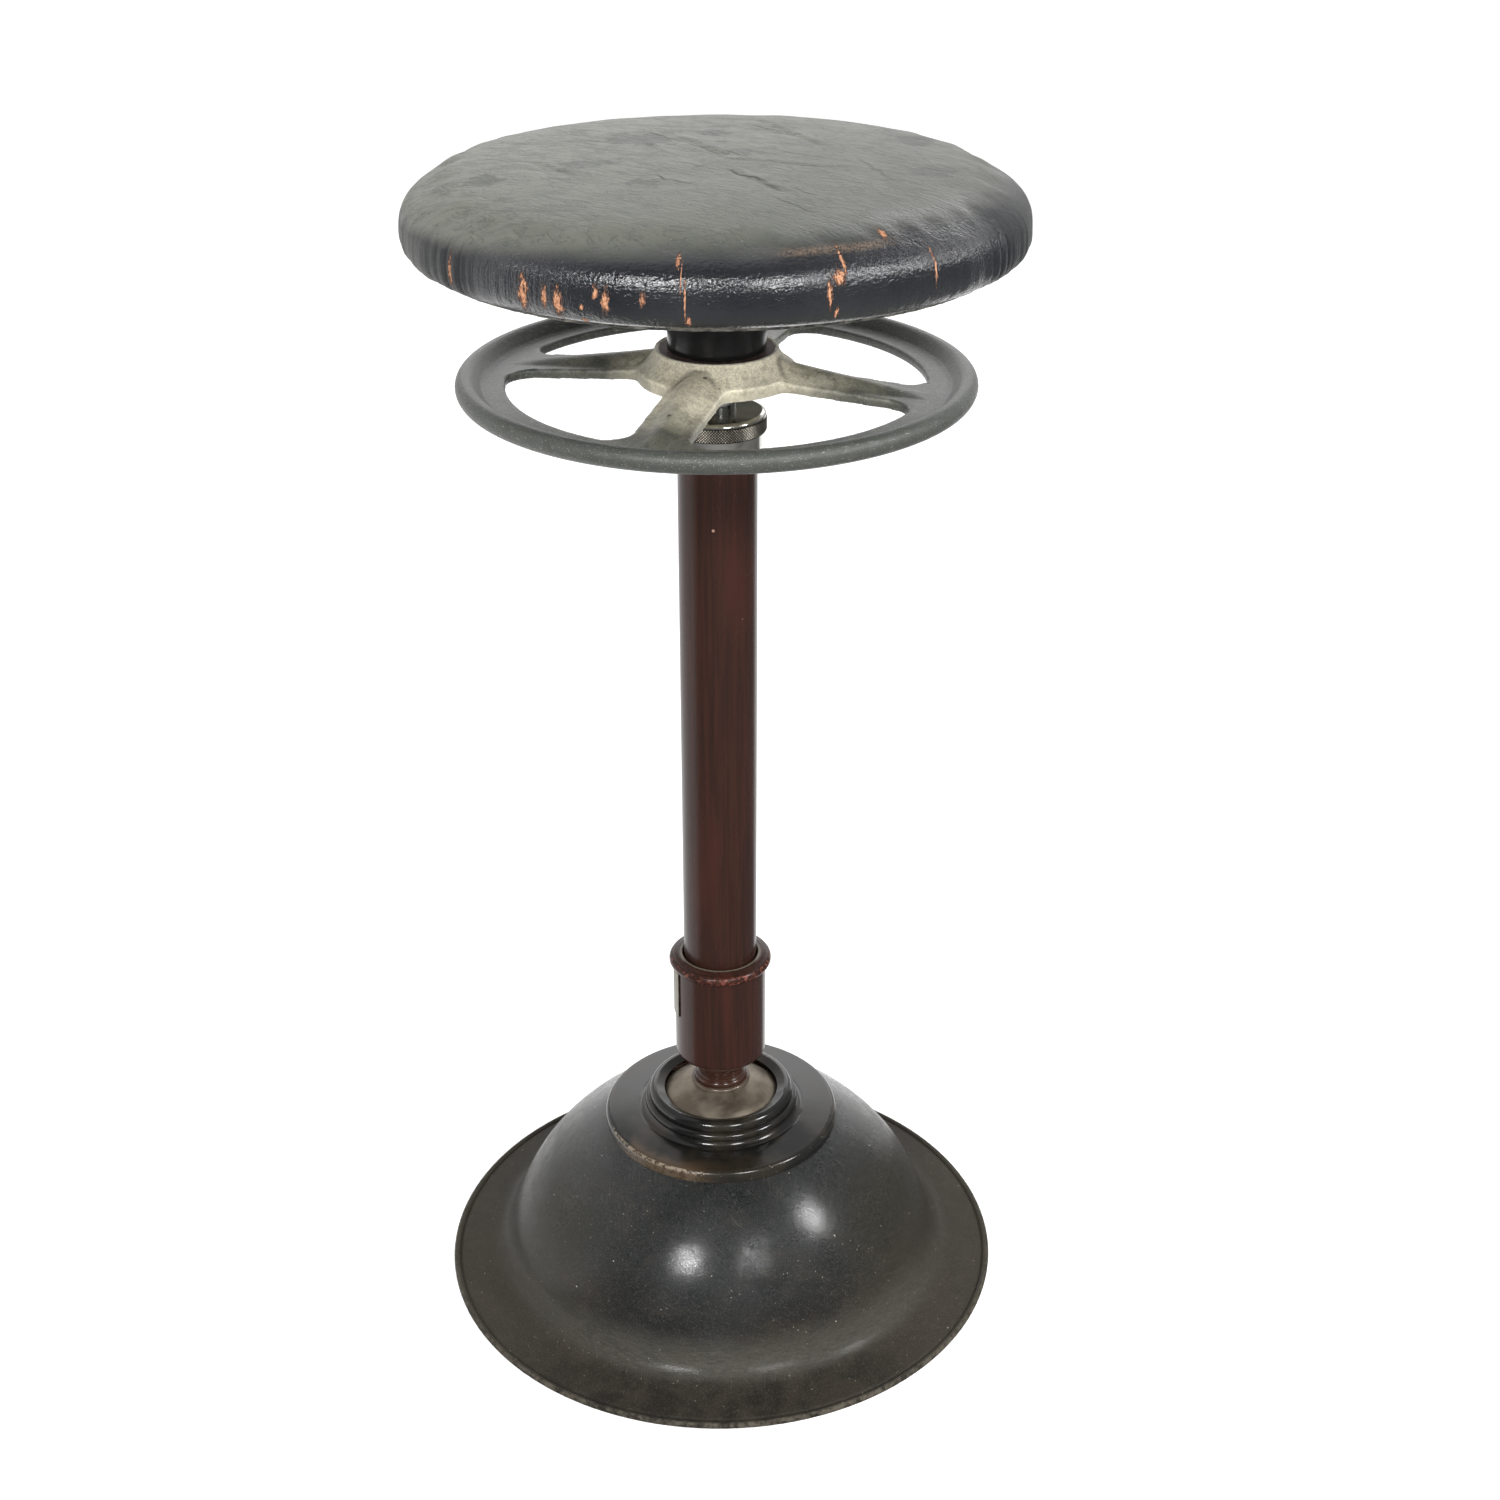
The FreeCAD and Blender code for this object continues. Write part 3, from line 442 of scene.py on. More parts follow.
def seat_leather():
    material, shader = finish("worn_black_leather", Specular_IOR_Level=0.50, Coat_Roughness=0.14,
            Coat_IOR=1.5)
    radius, angle, height = rounds()
    ragged = cloud((1.3, 1.3, 3.4), 4.0, 0.75)
    broad = cloud(45)
    # The polish has gone from the top; the side keeps it, less towards the left.
    mean, rise, highest = POLISH_LINE
    facing = towards(angle, highest)
    level = sums("SUBTRACT", scaled(broad, 5 * MM, height), scaled(facing, rise, mean))
    top = band(level, -3.0 * MM, 8.5 * MM)
    ends = band(sums("ABSOLUTE", sums("COSINE", angle)), 0.15, 0.75)
    fade = towards(angle, POLISH_MIDDLE)
    dull = most(top, band(fade, 0.74, 0.54, 0.0, 0.95))
    top = most(top, band(fade, 0.60, 0.20, 0.0, 0.24))
    # Painted sheen: the dull top is painted paler towards the back left, away from the polish's highest side.
    painted_sheen = band(times(facing, radius), SEAT_RADIUS, -SEAT_RADIUS)
    dry = tint(painted_sheen, (0.094, 0.098, 0.080), (0.208, 0.210, 0.180))
    veil = cloud((30, 9, 30), 7.0, 0.68, turned=(0, 0, -0.35), bend=0.8)
    dry = tint(band(veil, 0.46, 0.64, 0.0, 0.7), dry, (0.104, 0.110, 0.095))
    dry = tint(times(stains(), 0.70), dry, (0.062, 0.067, 0.056))
    lines = hairlines((20, 5, 20), (0, 0, -0.85), 0.026, 0.8, 0.45)
    for size, turned in (((14, 4, 14), -0.60), ((11, 3.4, 11), -1.10), ((18, 7, 18), -0.30)):
        lines = most(lines, hairlines(size, (0, 0, turned), 0.028, 0.6, 0.55))
    dry = tint(times(lines, 0.36), dry, (0.060, 0.064, 0.056))
    lapped, foot = top_folds()
    # Painted shade along the feet of the folds.
    dry = tint(times(foot, 0.85), dry, (0.036, 0.038, 0.033))
    grime_and_shade = cloud(1.3, 3.0, 0.7)
    dry = tint(times(band(grime_and_shade, 0.56, 0.70), 0.5), dry, (0.070, 0.074, 0.064))
    polish = tint(band(broad, 0.35, 0.7), (0.0065, 0.0075, 0.0105), (0.012, 0.013, 0.0155))
    polish = tint(band(height, SEAT_UNDERSIDE + 14 * MM, SEAT_UNDERSIDE + 3 * MM), polish,
            (0.016, 0.0165, 0.0150))
    skin = tint(top, polish, dry)
    # Brown line where the side turns into the top, then the torn places.
    left, right, up, half_height = SCUFF
    middle = (SEAT_UNDERSIDE + up * MM) / (half_height * MM)
    depth = sums("ABSOLUTE", scaled(height, 1 / (half_height * MM), -middle))
    ends_faded = times(past(angle, left - 360, left - 352), past(angle, right - 360, right - 368))
    rubbed = times(band(depth, 0.2, 1.6, 1.0, 0.0), ends_faded, band(ragged, 0.38, 0.60))
    skin = tint(rubbed, skin, (0.125, 0.090, 0.066))
    torn = sums("ADD", torn_places(angle, height), scaled(ragged, 5.2, -2.6))
    rim = band(torn, -0.30, 0.0)
    core = band(torn, 0.22, 0.34)
    skin = tint(rim, skin, (0.085, 0.034, 0.018))
    flesh = tint(band(cloud(1.6, 3.0, 0.7), 0.42, 0.62), (0.47, 0.240, 0.135), (0.26, 0.105, 0.050))
    skin = tint(core, skin, flesh)
    # Gloss, then wrinkles, creases and pebbling
    gloss = scaled(broad, 0.08, 0.15)
    matt = scaled(veil, 0.14, 0.46)
    rough = most(blend(dull, gloss, matt), times(rim, 0.8))
    pebble = cloud((2.3, 2.3, 1.7), 2.5, 0.6)
    wrinkle = cloud((7, 1.9, 3), 5.0, 0.6, turned=(0, 0, -0.80), bend=0.5)
    ripple = cloud((15, 4.4, 8), 3.0, turned=(0, 0, -0.60), bend=0.8)
    upright = cloud((1.7, 1.7, 24), 4.0, 0.6, bend=0.2)
    side_form = relief(pebble, 0.48)
    side_form = relief(times(upright, scaled(ends, 0.8, 0.2)), 0.9, side_form)
    top_form = relief(wrinkle, 0.55, relief(pebble, 0.22))
    top_form = relief(ripple, 0.8, top_form)
    top_form = relief(lines, -0.30, top_form)
    top_form = relief(lapped, 0.9, top_form)
    form = lay("Mix", {"Factor": top, 4: side_form, 5: top_form}, data_type="VECTOR").outputs[1]
    form = relief(without(rim), 0.35, form)
    waxed = times(without(dull), without(rim), 0.85)
    feed(shader, Base_Color=skin, Roughness=rough, Normal=form, Coat_Normal=form, Coat_Weight=waxed)
    return material


def seat_hem_leather():
    material, shader = finish("hem_leather", Specular_IOR_Level=0.45)
    worn = cloud(6, 4.0)
    # Painted highlight: a pale line along the rolled corner, broken up by noise.
    edge = band(rounds()[0], SEAT_FOOT_RADIUS - 0.6 * MM, SEAT_FOOT_RADIUS + 0.4 * MM)
    light = times(edge, band(worn, 0.4, 0.6))
    skin = tint(light, (0.020, 0.020, 0.019), (0.16, 0.15, 0.125))
    feed(shader, Base_Color=skin, Roughness=band(worn, 0.2, 0.8, 0.3, 0.6),
            Normal=relief(cells(1.2, "SMOOTH_F1"), 0.15))
    return material


RIM_VALLEY = 137.4 * MM
LIT_SPOKE = 254.5
HOLLOW = "hollow"


def cast_aluminium():
    """Sand-cast and light at the hub; handled, greyer and brushed outwards at the rim. Painted light and
    shade too: paler further out along the lit front spoke, darker sooner along the left one, darker on faces
    turned down, and darker in the hollows and along the rim's valley, partly grime, partly painted shade.
    """
    material, shader = finish("cast_aluminium", Metallic=0.12, Specular_IOR_Level=0.4)
    radius, angle = rounds()[:2]
    dirt = cloud(20, 5.0, 0.62)
    sand = cloud(1.4, 5.0, 0.7)
    mottle = cloud(6.5, 6.0, 0.68)
    # Painted light and shade: the lit front spoke stays pale further out, and the left spoke, in the seat's
    # shade, turns dark sooner.
    lit_spoke = towards(angle, LIT_SPOKE)
    reach = scaled(dirt, 36 * MM, radius)
    reach = scaled(band(lit_spoke, 0.75, 0.95), -26 * MM, reach)
    left = times(sums("COSINE", angle), -1.0)
    reach = scaled(band(left, 0.75, 0.95), 12 * MM, reach)
    warm = band(reach, 50 * MM, 108 * MM, 1.0, 0.0)
    olive = tint(band(reach, 112 * MM, 142 * MM), (0.150, 0.146, 0.112), (0.072, 0.077, 0.069))
    metal = tint(warm, olive, (0.88, 0.82, 0.64))
    blotch = times(band(mottle, 0.47, 0.66), 0.55)
    metal = tint(blotch, metal, tint(warm, (0.048, 0.050, 0.043), (0.40, 0.35, 0.235)))
    stained = times(band(dirt, 0.50, 0.72), 0.75)
    metal = tint(stained, metal, tint(warm, (0.062, 0.064, 0.053), (0.36, 0.325, 0.225)))
    grains = times(band(sand, 0.56, 0.44), 0.34)
    metal = tint(grains, metal, tint(warm, (0.046, 0.048, 0.042), (0.25, 0.225, 0.155)))
    ragged = cloud(1.2, 3.0, 0.6)
    pit = scaled(ragged, 0.10, cells(21))
    pits = band(pit, 0.095, 0.125)
    metal = tint(pits, (0.085, 0.070, 0.048), metal)
    # Darker along the rim's valley: partly grime, partly painted shade.
    valley = sums("DIVIDE", sums("ABSOLUTE", sums("SUBTRACT", radius, RIM_VALLEY)), 3.4 * MM)
    grime_and_shade = times(band(valley, 0.2, 1.2, 1.0, 0.0), band(sand, 0.40, 0.56))
    metal = tint(times(grime_and_shade, 0.7), metal, (0.042, 0.045, 0.040))
    # Darker in the hollows: partly grime, partly painted shade.
    hollow = lay("Attribute", attribute_name=HOLLOW).outputs["Fac"]
    hollow_dirt_and_shade = times(band(hollow, 0.02, 0.09), band(mottle, 0.30, 0.55, 0.35, 0.75))
    metal = tint(hollow_dirt_and_shade, metal, tint(warm, (0.030, 0.032, 0.028), (0.115, 0.100, 0.066)))
    worn = times(band(hollow, -0.10, -0.24), band(mottle, 0.62, 0.40, 0.25, 0.65))
    metal = tint(worn, metal, tint(warm, (0.20, 0.205, 0.185), (0.90, 0.86, 0.72)))
    # Painted shade: faces turned downwards are darkened.
    facing = lay("TexCoord").outputs["Normal"]
    facing = lay("SeparateXYZ", {"Vector": facing}).outputs["Z"]
    under = band(facing, 0.35, -0.10, 0.0, 0.55)
    metal = tint(under, metal, tint(warm, (0.048, 0.050, 0.043), (0.200, 0.180, 0.125)))
    # The web was brushed outwards from the hub, and has pale scratches.
    flat = lay("VectorMath", {0: here(), 1: (1, 1, 0)}, operation="MULTIPLY").outputs[0]
    outward = lay("VectorMath", {0: flat}, operation="NORMALIZE").outputs[0]
    brushed = lay("TexNoise", {"Vector": outward, "Scale": 120.0, "Detail": 4.0}).outputs["Fac"]
    web = times(band(radius, 108 * MM, 122 * MM), band(radius, 140 * MM, 136 * MM))
    streak = times(web, 0.38, band(brushed, 0.50, 0.75))
    metal = tint(streak, metal, (0.23, 0.235, 0.215))
    marks = scratches(11, 0.6, (0.1, 0.1, 0.6), 0.70)
    for turned in ((0.2, 0.1, -0.8), (0.1, 0.3, 2.2)):
        marks = most(marks, scratches(9, 0.5, turned, 0.71))
    metal = tint(times(marks, 0.5), metal, (0.42, 0.42, 0.37))
    form = relief(brushed, 0.06)
    form = relief(sand, 0.24, form)
    form = relief(pits, 0.30, form)
    feed(shader, Base_Color=metal, Roughness=band(warm, 0.0, 1.0, 0.38, 0.55), Normal=form)
    return material


def polished_steel():
    """The screw's steel, turned and bright."""
    shade = (0.60, 0.59, 0.57)
    material, shader = finish("polished_steel", Metallic=1.0)
    dull = cloud(7, 4.0)
    turned = cloud((9, 9, 0.25), 2.0)
    metal = tint(band(dull, 0.5, 0.75), shade, tuple(0.55 * part for part in shade))
    feed(shader, Base_Color=metal, Roughness=band(dull, 0.3, 0.7, 0.07, 0.20), Normal=relief(turned, 0.006))
    return material


def collar_nickel():
    """Nickel: a mirror on the neck and the roof's edge, painted dark on the flat roof as a painted
    reflection, brown dirt in the knurling.
    """
    material, shader = finish("collar_nickel", Metallic=1.0)
    radius, _, height = rounds()
    top = collar_high.z
    knurl_top = top - COLLAR_CHAMFER[1]
    dull = cloud(7, 4.0)
    metal = tint(band(dull, 0.5, 0.75), (0.52, 0.51, 0.475), (0.34, 0.33, 0.30))
    # Painted reflection: the flat roof is painted dark, as if it mirrored the shaded underside of the wheel
    # above.
    roof = times(band(height, top - 0.3 * MM, top - 0.1 * MM),
            band(radius, COLLAR_RADIUS - 2.6 * MM, COLLAR_RADIUS - 3.2 * MM))
    metal = tint(roof, metal, tint(dull, (0.070, 0.074, 0.066), (0.115, 0.120, 0.105)))
    cut = times(band(height, knurl_top + 0.15 * MM, knurl_top - 0.05 * MM),
            band(height, knurl_top - KNURL_BAND - 0.05 * MM, knurl_top - KNURL_BAND + 0.15 * MM))
    peak = band(radius, COLLAR_RADIUS - 0.36 * MM, COLLAR_RADIUS - 0.02 * MM)
    metal = tint(cut, metal, tint(peak, (0.045, 0.038, 0.030), (0.48, 0.455, 0.40)))
    turned = cloud((9, 9, 0.25), 2.0)
    rough = blend(cut, band(dull, 0.3, 0.7, 0.07, 0.20), 0.36)
    feed(shader, Base_Color=metal, Roughness=rough, Normal=relief(turned, 0.006))
    return material


def mahogany_paint(name="mahogany_paint", red=1.0):
    """Reddish brown with an upright grain, under lacquer."""
    material, shader = finish(name, Specular_IOR_Level=0.22)
    grain = cloud((2.4, 2.4, 90), 4.0, 0.65, bend=0.25)
    broad = cloud((20, 20, 160), 2.0)
    wood = tint(band(grain, 0.35, 0.68), (0.0195, 0.0088, 0.0066), (0.031 * red, 0.0118, 0.0082))
    wood = tint(band(broad, 0.5, 0.8), wood, (0.038 * red, 0.0118, 0.0082))
    nick = band(cells(30), 0.025, 0.04, 1.0, 0.0)
    wood = tint(nick, wood, (0.30, 0.17, 0.13))
    feed(shader, Base_Color=wood, Roughness=band(broad, 0.3, 0.8, 0.20, 0.32), Normal=relief(grain, 0.03))
    return material


def ferrule_paint():
    """The column's paint, with the bead rubbed red and its lip rubbed to the metal."""
    material = mahogany_paint("ferrule_paint", red=1.1)
    shader = bench.nodes["Principled BSDF"]
    wood = shader.inputs["Base Color"].links[0].from_socket
    radius, _, height = rounds()
    worn = cloud(3, 4.0, 0.65)
    lip = times(band(height, ferrule_high.z - 1.0 * MM, ferrule_high.z - 0.4 * MM),
            band(radius, 27.5 * MM, 26.6 * MM))
    bead = times(band(radius, 31.5 * MM, 33.4 * MM), band(worn, 0.52, 0.62))
    wood = tint(bead, wood, (0.16, 0.055, 0.038))
    wood = tint(lip, wood, (0.115, 0.095, 0.073))
    feed(shader, Base_Color=wood)
    return material


# Radii of the painted highlight in the bell's cove, where it begins, is full, fades and ends, and its front
# in degrees
COVE = (142 * MM, 148 * MM, 153 * MM, 162 * MM)
COVE_FRONT = 285.0
# Middle of the dome's scuffed place, and how far it reaches
BELL_SCUFF = ((31 * MM, -116 * MM, 72 * MM), 21 * MM)


def bell_enamel():
    """Black stove enamel: bluish and glossy on the dome, olive at its sides, browned and dull on the brim."""
    material, shader = finish("bell_enamel", Specular_IOR_Level=0.18, Coat_Roughness=0.14)
    radius, angle = rounds()[:2]
    broad = cloud(70)
    smear = cloud((26, 26, 18), 5.0, 0.65, bend=0.6)
    fine = cloud(5, 4.0, 0.65)
    reach = scaled(broad, 30 * MM, radius)
    brim = band(reach, 140 * MM, 182 * MM)
    coat = tint(broad, (0.0040, 0.0052, 0.0058), (0.0075, 0.0086, 0.0080))
    aside = sums("ABSOLUTE", sums("COSINE", angle))
    sides = times(band(aside, 0.45, 0.95), band(radius, 80 * MM, 125 * MM))
    coat = tint(times(sides, 0.80), coat, (0.0225, 0.0205, 0.0135))
    coat = tint(times(band(smear, 0.52, 0.70), 0.6), coat, (0.0170, 0.0145, 0.0105))
    brown = tint(band(smear, 0.40, 0.65), (0.0150, 0.0125, 0.0100), (0.0280, 0.0230, 0.0165))
    coat = tint(brim, coat, brown)
    coat = tint(times(band(aside, 0.40, 0.90, 0.0, 0.6), brim), coat, (0.046, 0.040, 0.029))
    # Painted highlight: a pale streaky band round the cove, strongest at the front.
    begins, full, fades, ends = COVE
    combed = band(cloud((7, 7, 1.2), 4.0, 0.6), 0.30, 0.70, 0.55, 1.0)
    front = band(towards(angle, COVE_FRONT), 0.2, 0.8, 0.30, 1.0)
    cove_highlight = times(band(radius, begins, full), band(radius, ends, fades), front, combed)
    coat = tint(cove_highlight, coat, (0.050, 0.047, 0.038))
    dust = scaled(fine, 0.05, cells(14))
    speck = band(dust, 0.050, 0.070, 0.9, 0.0)
    grit = times(band(cells(5.2), 0.050, 0.085, 1.0, 0.0), band(smear, 0.42, 0.60))
    speck = most(speck, times(grit, 0.55))
    coat = tint(speck, coat, (0.40, 0.38, 0.32))
    rim = times(band(radius, bell_high.x - 3.0 * MM, bell_high.x - 0.6 * MM),
            band(scaled(smear, 0.5, fine), 0.62, 0.88, 0.0, 0.7))
    coat = tint(rim, coat, (0.105, 0.092, 0.070))
    marks = scratches(34, 0.7, (0.4, 0.2, 0.9), 0.66)
    for turned in ((0.1, 0.5, -0.6), (0.7, 0.1, 2.1), (-0.3, 0.6, 0.1), (0.2, -0.5, 1.5)):
        marks = most(marks, scratches(26, 0.6, turned, 0.67))
    coat = tint(times(marks, 0.16), coat, (0.16, 0.15, 0.125))
    for turned in ((0.3, 0.2, 0.5), (0.8, -0.3, 1.9), (0.1, 0.9, 0.2), (-0.6, 0.2, -0.4), (1.2, 0.4, 1.1)):
        marks = most(marks, scratches(9, 0.5, turned, 0.62))
    rough = blend(brim, band(smear, 0.35, 0.65, 0.24, 0.36), 0.48)
    rough = scaled(marks, 0.20, rough)
    grain = cloud(1.3, 3.0, 0.7)
    form = relief(cloud(9), 0.10)
    form = relief(times(grain, band(smear, 0.42, 0.58, 0.55, 1.0)), 0.075, form)
    form = relief(marks, -0.06, form)
    middle, extent = BELL_SCUFF
    away = lay("VectorMath", {0: here(), 1: middle}, operation="DISTANCE").outputs["Value"]
    away = scaled(sums("SUBTRACT", fine, 0.5), 16 * MM, away)
    scuff = band(away, 0.5 * extent, extent, 0.75, 0.0)
    dim = most(scuff, times(sides, 0.85))
    glossy = without(most(brim, dim))
    feed(shader, Base_Color=coat, Roughness=rough, Normal=form, Coat_Normal=form,
            Coat_Weight=times(glossy, 0.80))
    return material


def cap_enamel():
    """Deep glossy black on the socket cap, worn to the iron along its edge on the left."""
    material, shader = finish("cap_enamel", Specular_IOR_Level=0.5)
    radius, angle = rounds()[:2]
    broad = cloud(30)
    fine = cloud(3, 4.0, 0.65)
    coat = tint(band(broad, 0.4, 0.65), (0.0060, 0.0062, 0.0058), (0.020, 0.016, 0.011))
    left = times(band(angle, -2.9, -2.5), band(angle, -1.85, -1.6, 1.0, 0.0))
    smear = times(left, band(broad, 0.40, 0.60), band(radius, cap_high.x - 13 * MM, cap_high.x - 3 * MM))
    coat = tint(times(smear, 0.75), coat, (0.058, 0.036, 0.020))
    line = sums("ABSOLUTE", sums("SUBTRACT", radius, cap_high.x - 0.9 * MM))
    edge = band(line, 0.3 * MM, 1.1 * MM, 1.0, 0.0)
    share = scaled(left, 0.20, fine)
    worn = times(edge, band(share, 0.62, 0.72))
    coat = tint(worn, coat, (0.19, 0.155, 0.110))
    rough = blend(worn, band(broad, 0.3, 0.7, 0.10, 0.20), 0.5)
    form = relief(without(worn), 0.15, relief(fine, 0.02))
    feed(shader, Base_Color=coat, Roughness=rough, Normal=form)
    return material


NECK_FOOT = 142.0 * MM


def ball_metal():
    """Brown lacquer on the beaded neck, rubbed off the ball below."""
    material, shader = finish("ball_metal")
    rubbed = cloud((16, 16, 9), 5.0, 0.55)
    level = scaled(rubbed, 8 * MM, rounds()[2])
    bare = band(level, NECK_FOOT + 2 * MM, NECK_FOOT + 7 * MM, 1.0, 0.0)
    brown = tint(rubbed, (0.022, 0.009, 0.006), (0.050, 0.022, 0.014))
    iron = tint(band(rubbed, 0.35, 0.65), (0.155, 0.127, 0.096), (0.265, 0.228, 0.178))
    hairs = cloud((18, 18, 0.5), 2.0)
    feed(shader, Base_Color=tint(bare, brown, iron), Metallic=times(bare, 0.85),
            Roughness=blend(bare, 0.16, band(rubbed, 0.3, 0.7, 0.34, 0.5)), Normal=relief(hairs, 0.03))
    return material


def boss_enamel():
    material, shader = finish("boss_enamel", Specular_IOR_Level=0.45)
    broad = cloud(12, 4.0)
    chip = band(cells(13), 0.03, 0.05, 1.0, 0.0)
    coat = tint(broad, (0.006, 0.006, 0.007), (0.014, 0.013, 0.012))
    coat = tint(chip, coat, (0.10, 0.09, 0.08))
    feed(shader, Base_Color=coat, Roughness=band(broad, 0.3, 0.7, 0.14, 0.26),
            Normal=relief(cloud(2), 0.03))
    return material


def fibre(name, dark, light):
    """Pressed fibre: brown, dull and finely mottled."""
    material, shader = finish(name, Specular_IOR_Level=0.3)
    fleck = cloud((3, 3, 0.6), 4.0, 0.7)
    feed(shader, Base_Color=tint(band(fleck, 0.35, 0.65), dark, light),
            Roughness=band(fleck, 0.2, 0.8, 0.5, 0.75), Normal=relief(fleck, 0.06))
    return material


def bare_metal(name, dark, light, low, high, size=4.0, depth=0.05):
    """Plain metal of a hidden piece, with machining or casting marks."""
    material, shader = finish(name, Metallic=1.0)
    skin = cloud(size, 5.0, 0.6)
    feed(shader, Base_Color=tint(band(skin, 0.35, 0.65), dark, light),
            Roughness=band(skin, 0.3, 0.7, low, high), Normal=relief(skin, depth))
    return material


def plywood():
    material, shader = finish("plywood", Specular_IOR_Level=0.3)
    ply = lay("TexWave", {"Vector": spot((1000, 1000, 6.4)), "Scale": 0.5, "Distortion": 0.6},
            bands_direction="Z").outputs["Fac"]
    grain = cloud((60, 2, 60), 4.0)
    wood = tint(grain, (0.32, 0.20, 0.10), (0.46, 0.32, 0.18))
    wood = tint(times(ply, 0.5), wood, (0.20, 0.12, 0.06))
    feed(shader, Base_Color=wood, Roughness=band(grain, 0.3, 0.7, 0.55, 0.75), Normal=relief(grain, 0.1))
    return material


def lining_cloth():
    """Black cambric under the seat: a plain weave."""
    material, shader = finish("lining_cloth", Specular_IOR_Level=0.2)
    where = spot(0.9)
    warp = lay("TexWave", {"Vector": where, "Scale": 0.5}, bands_direction="X").outputs["Fac"]
    weft = lay("TexWave", {"Vector": where, "Scale": 0.5}, bands_direction="Y").outputs["Fac"]
    weave = times(warp, weft)
    dust = cloud(18, 4.0)
    cloth = tint(weave, (0.010, 0.010, 0.010), (0.035, 0.034, 0.031))
    cloth = tint(band(dust, 0.5, 0.8), cloth, (0.055, 0.052, 0.045))
    feed(shader, Base_Color=cloth, Roughness=band(weave, 0.0, 1.0, 0.95, 0.8), Normal=relief(weave, 0.15))
    return material


def seen_ray():
    """1 for what shows in a mirror or through glass, and 0 for other light."""
    path = lay("LightPath")
    return most(path.outputs["Is Glossy Ray"], path.outputs["Is Transmission Ray"])


def bearing(where):
    """Angle of a place or direction in the studio, from ahead of the stool to the right."""
    parts = lay("SeparateXYZ", {"Vector": where})
    return sums("ARCTAN2", parts.outputs["X"], times(parts.outputs["Y"], -1.0))


def mirrored(where, white, dull):
    """How bright a mirror shows the studio: white at the left and behind, dull in front and at the right."""
    left, right = DIM_SECTOR
    around = bearing(where)
    dim = times(past(around, left - 4, left + 4), past(around, right + 4, right - 4))
    return blend(dim, white, dull)


def floor_paper():
    """Plain white paper that takes the stool's shadow."""
    material = bpy.data.materials.new("floor_paper")
    take_up(material)
    bench.nodes.clear()
    seen = seen_ray()
    paper = lay("BsdfDiffuse", {"Color": blend(seen, PAPER, mirrored(here(), PAPER, DIM_FLOOR))})
    lit = most(lay("LightPath").outputs["Is Camera Ray"], times(seen, mirrored(here(), 1.0, 0.0)))
    glow = lay("Emission", {"Color": (1, 1, 1, 1), "Strength": times(lit, 1 - PAPER * FILL)})
    both = lay("AddShader", {0: paper.outputs[0], 1: glow.outputs[0]})
    lay("OutputMaterial", {"Surface": both.outputs[0]})
    return material


# Seat

SWELL = 3.0 * MM
SINK = 0.5 * MM
SLACK = (0.1 * MM, 1.6 * MM)
PUCKER = 0.9 * MM
CUSHION_NET = 4.0 * MM
STUFFING_STEPS = 20
# Creases of the top, in millimetres: from x, y to x, y, and their depth
CREASES = [
    ((-38, 78), (8, 4), 0.9), ((21, 116), (64, 24), 0.8), ((7, -27), (40, -83), 0.7),
    ((-106, -5), (-80, -39), 0.6), ((1, 1), (65, -25), 0.5), ((-47, 53), (-31, 12), 0.6),
]


def seat_outline(less):
    """Half outline of the cushion from its bottom edge to the crown, less by two slacks: side and top."""
    foot, out = SEAT_FOOT_RADIUS - less[0], SEAT_RADIUS - less[0]
    bottom, crown = SEAT_UNDERSIDE + LEATHER, SEAT_CROWN - less[1]
    points = []
    for step in range(6):
        angle = 0.5 * math.pi * step / 6
        points.append((foot + (out - foot) * math.sin(angle),
                SEAT_WAIST - (SEAT_WAIST - bottom) * math.cos(angle)))
    for step in range(24):
        angle = 0.5 * math.pi * step / 24
        points.append((out * math.cos(angle) ** 0.5,
                SEAT_WAIST + (crown - SEAT_WAIST) * math.sin(angle) ** 0.5))
    return points + [(0, crown)]


def stuff(piece, voxel, foot):
    """Stuffs a cover: an even net, blown up from inside as cloth; what lies under foot is held.

    Of its movement a point keeps what goes in or out, within limits, so that the leather stays tight."""
    take(piece)
    change(piece, "REMESH", mode="VOXEL", voxel_size=voxel)
    start = [vertex.co.copy() for vertex in piece.data.vertices]
    outward = [vertex.normal.copy() for vertex in piece.data.vertices]
    held = piece.vertex_groups.new(name="held")
    held.add([i for i, co in enumerate(start) if co.z < foot], 1.0, "REPLACE")
    cloth = piece.modifiers.new("stuffing", "CLOTH")
    cloth.settings.use_pressure = True
    cloth.settings.uniform_pressure_force = 4
    cloth.settings.vertex_group_mass = "held"
    cloth.settings.effector_weights.gravity = 0
    cloth.point_cache.frame_start = 1
    cloth.point_cache.frame_end = STUFFING_STEPS
    for step in range(1, STUFFING_STEPS + 1):
        bpy.context.scene.frame_set(step)
    apply_last(piece)
    for vertex, rest, out in zip(piece.data.vertices, start, outward):
        moved = (vertex.co - rest).dot(out)
        vertex.co = rest + out * min(max(moved, -SINK), SWELL)
    bpy.context.scene.frame_set(1)
    change(piece, "SMOOTH", factor=0.5, iterations=5)


# Upright folds of the side: angle, half width in degrees, depth
FOLDS = [
    (211.0, 0.7, 0.9), (214.2, 0.5, 1.2), (217.4, 0.45, 1.5), (221.6, 0.5, 1.6), (223.4, 0.4, 0.8),
    (326.5, 0.5, 0.8), (329.5, 0.45, 1.2), (332.0, 0.4, 0.9), (150.0, 0.6, 1.2), (96.0, 0.5, 0.9),
    (38.0, 0.6, 1.1),
]


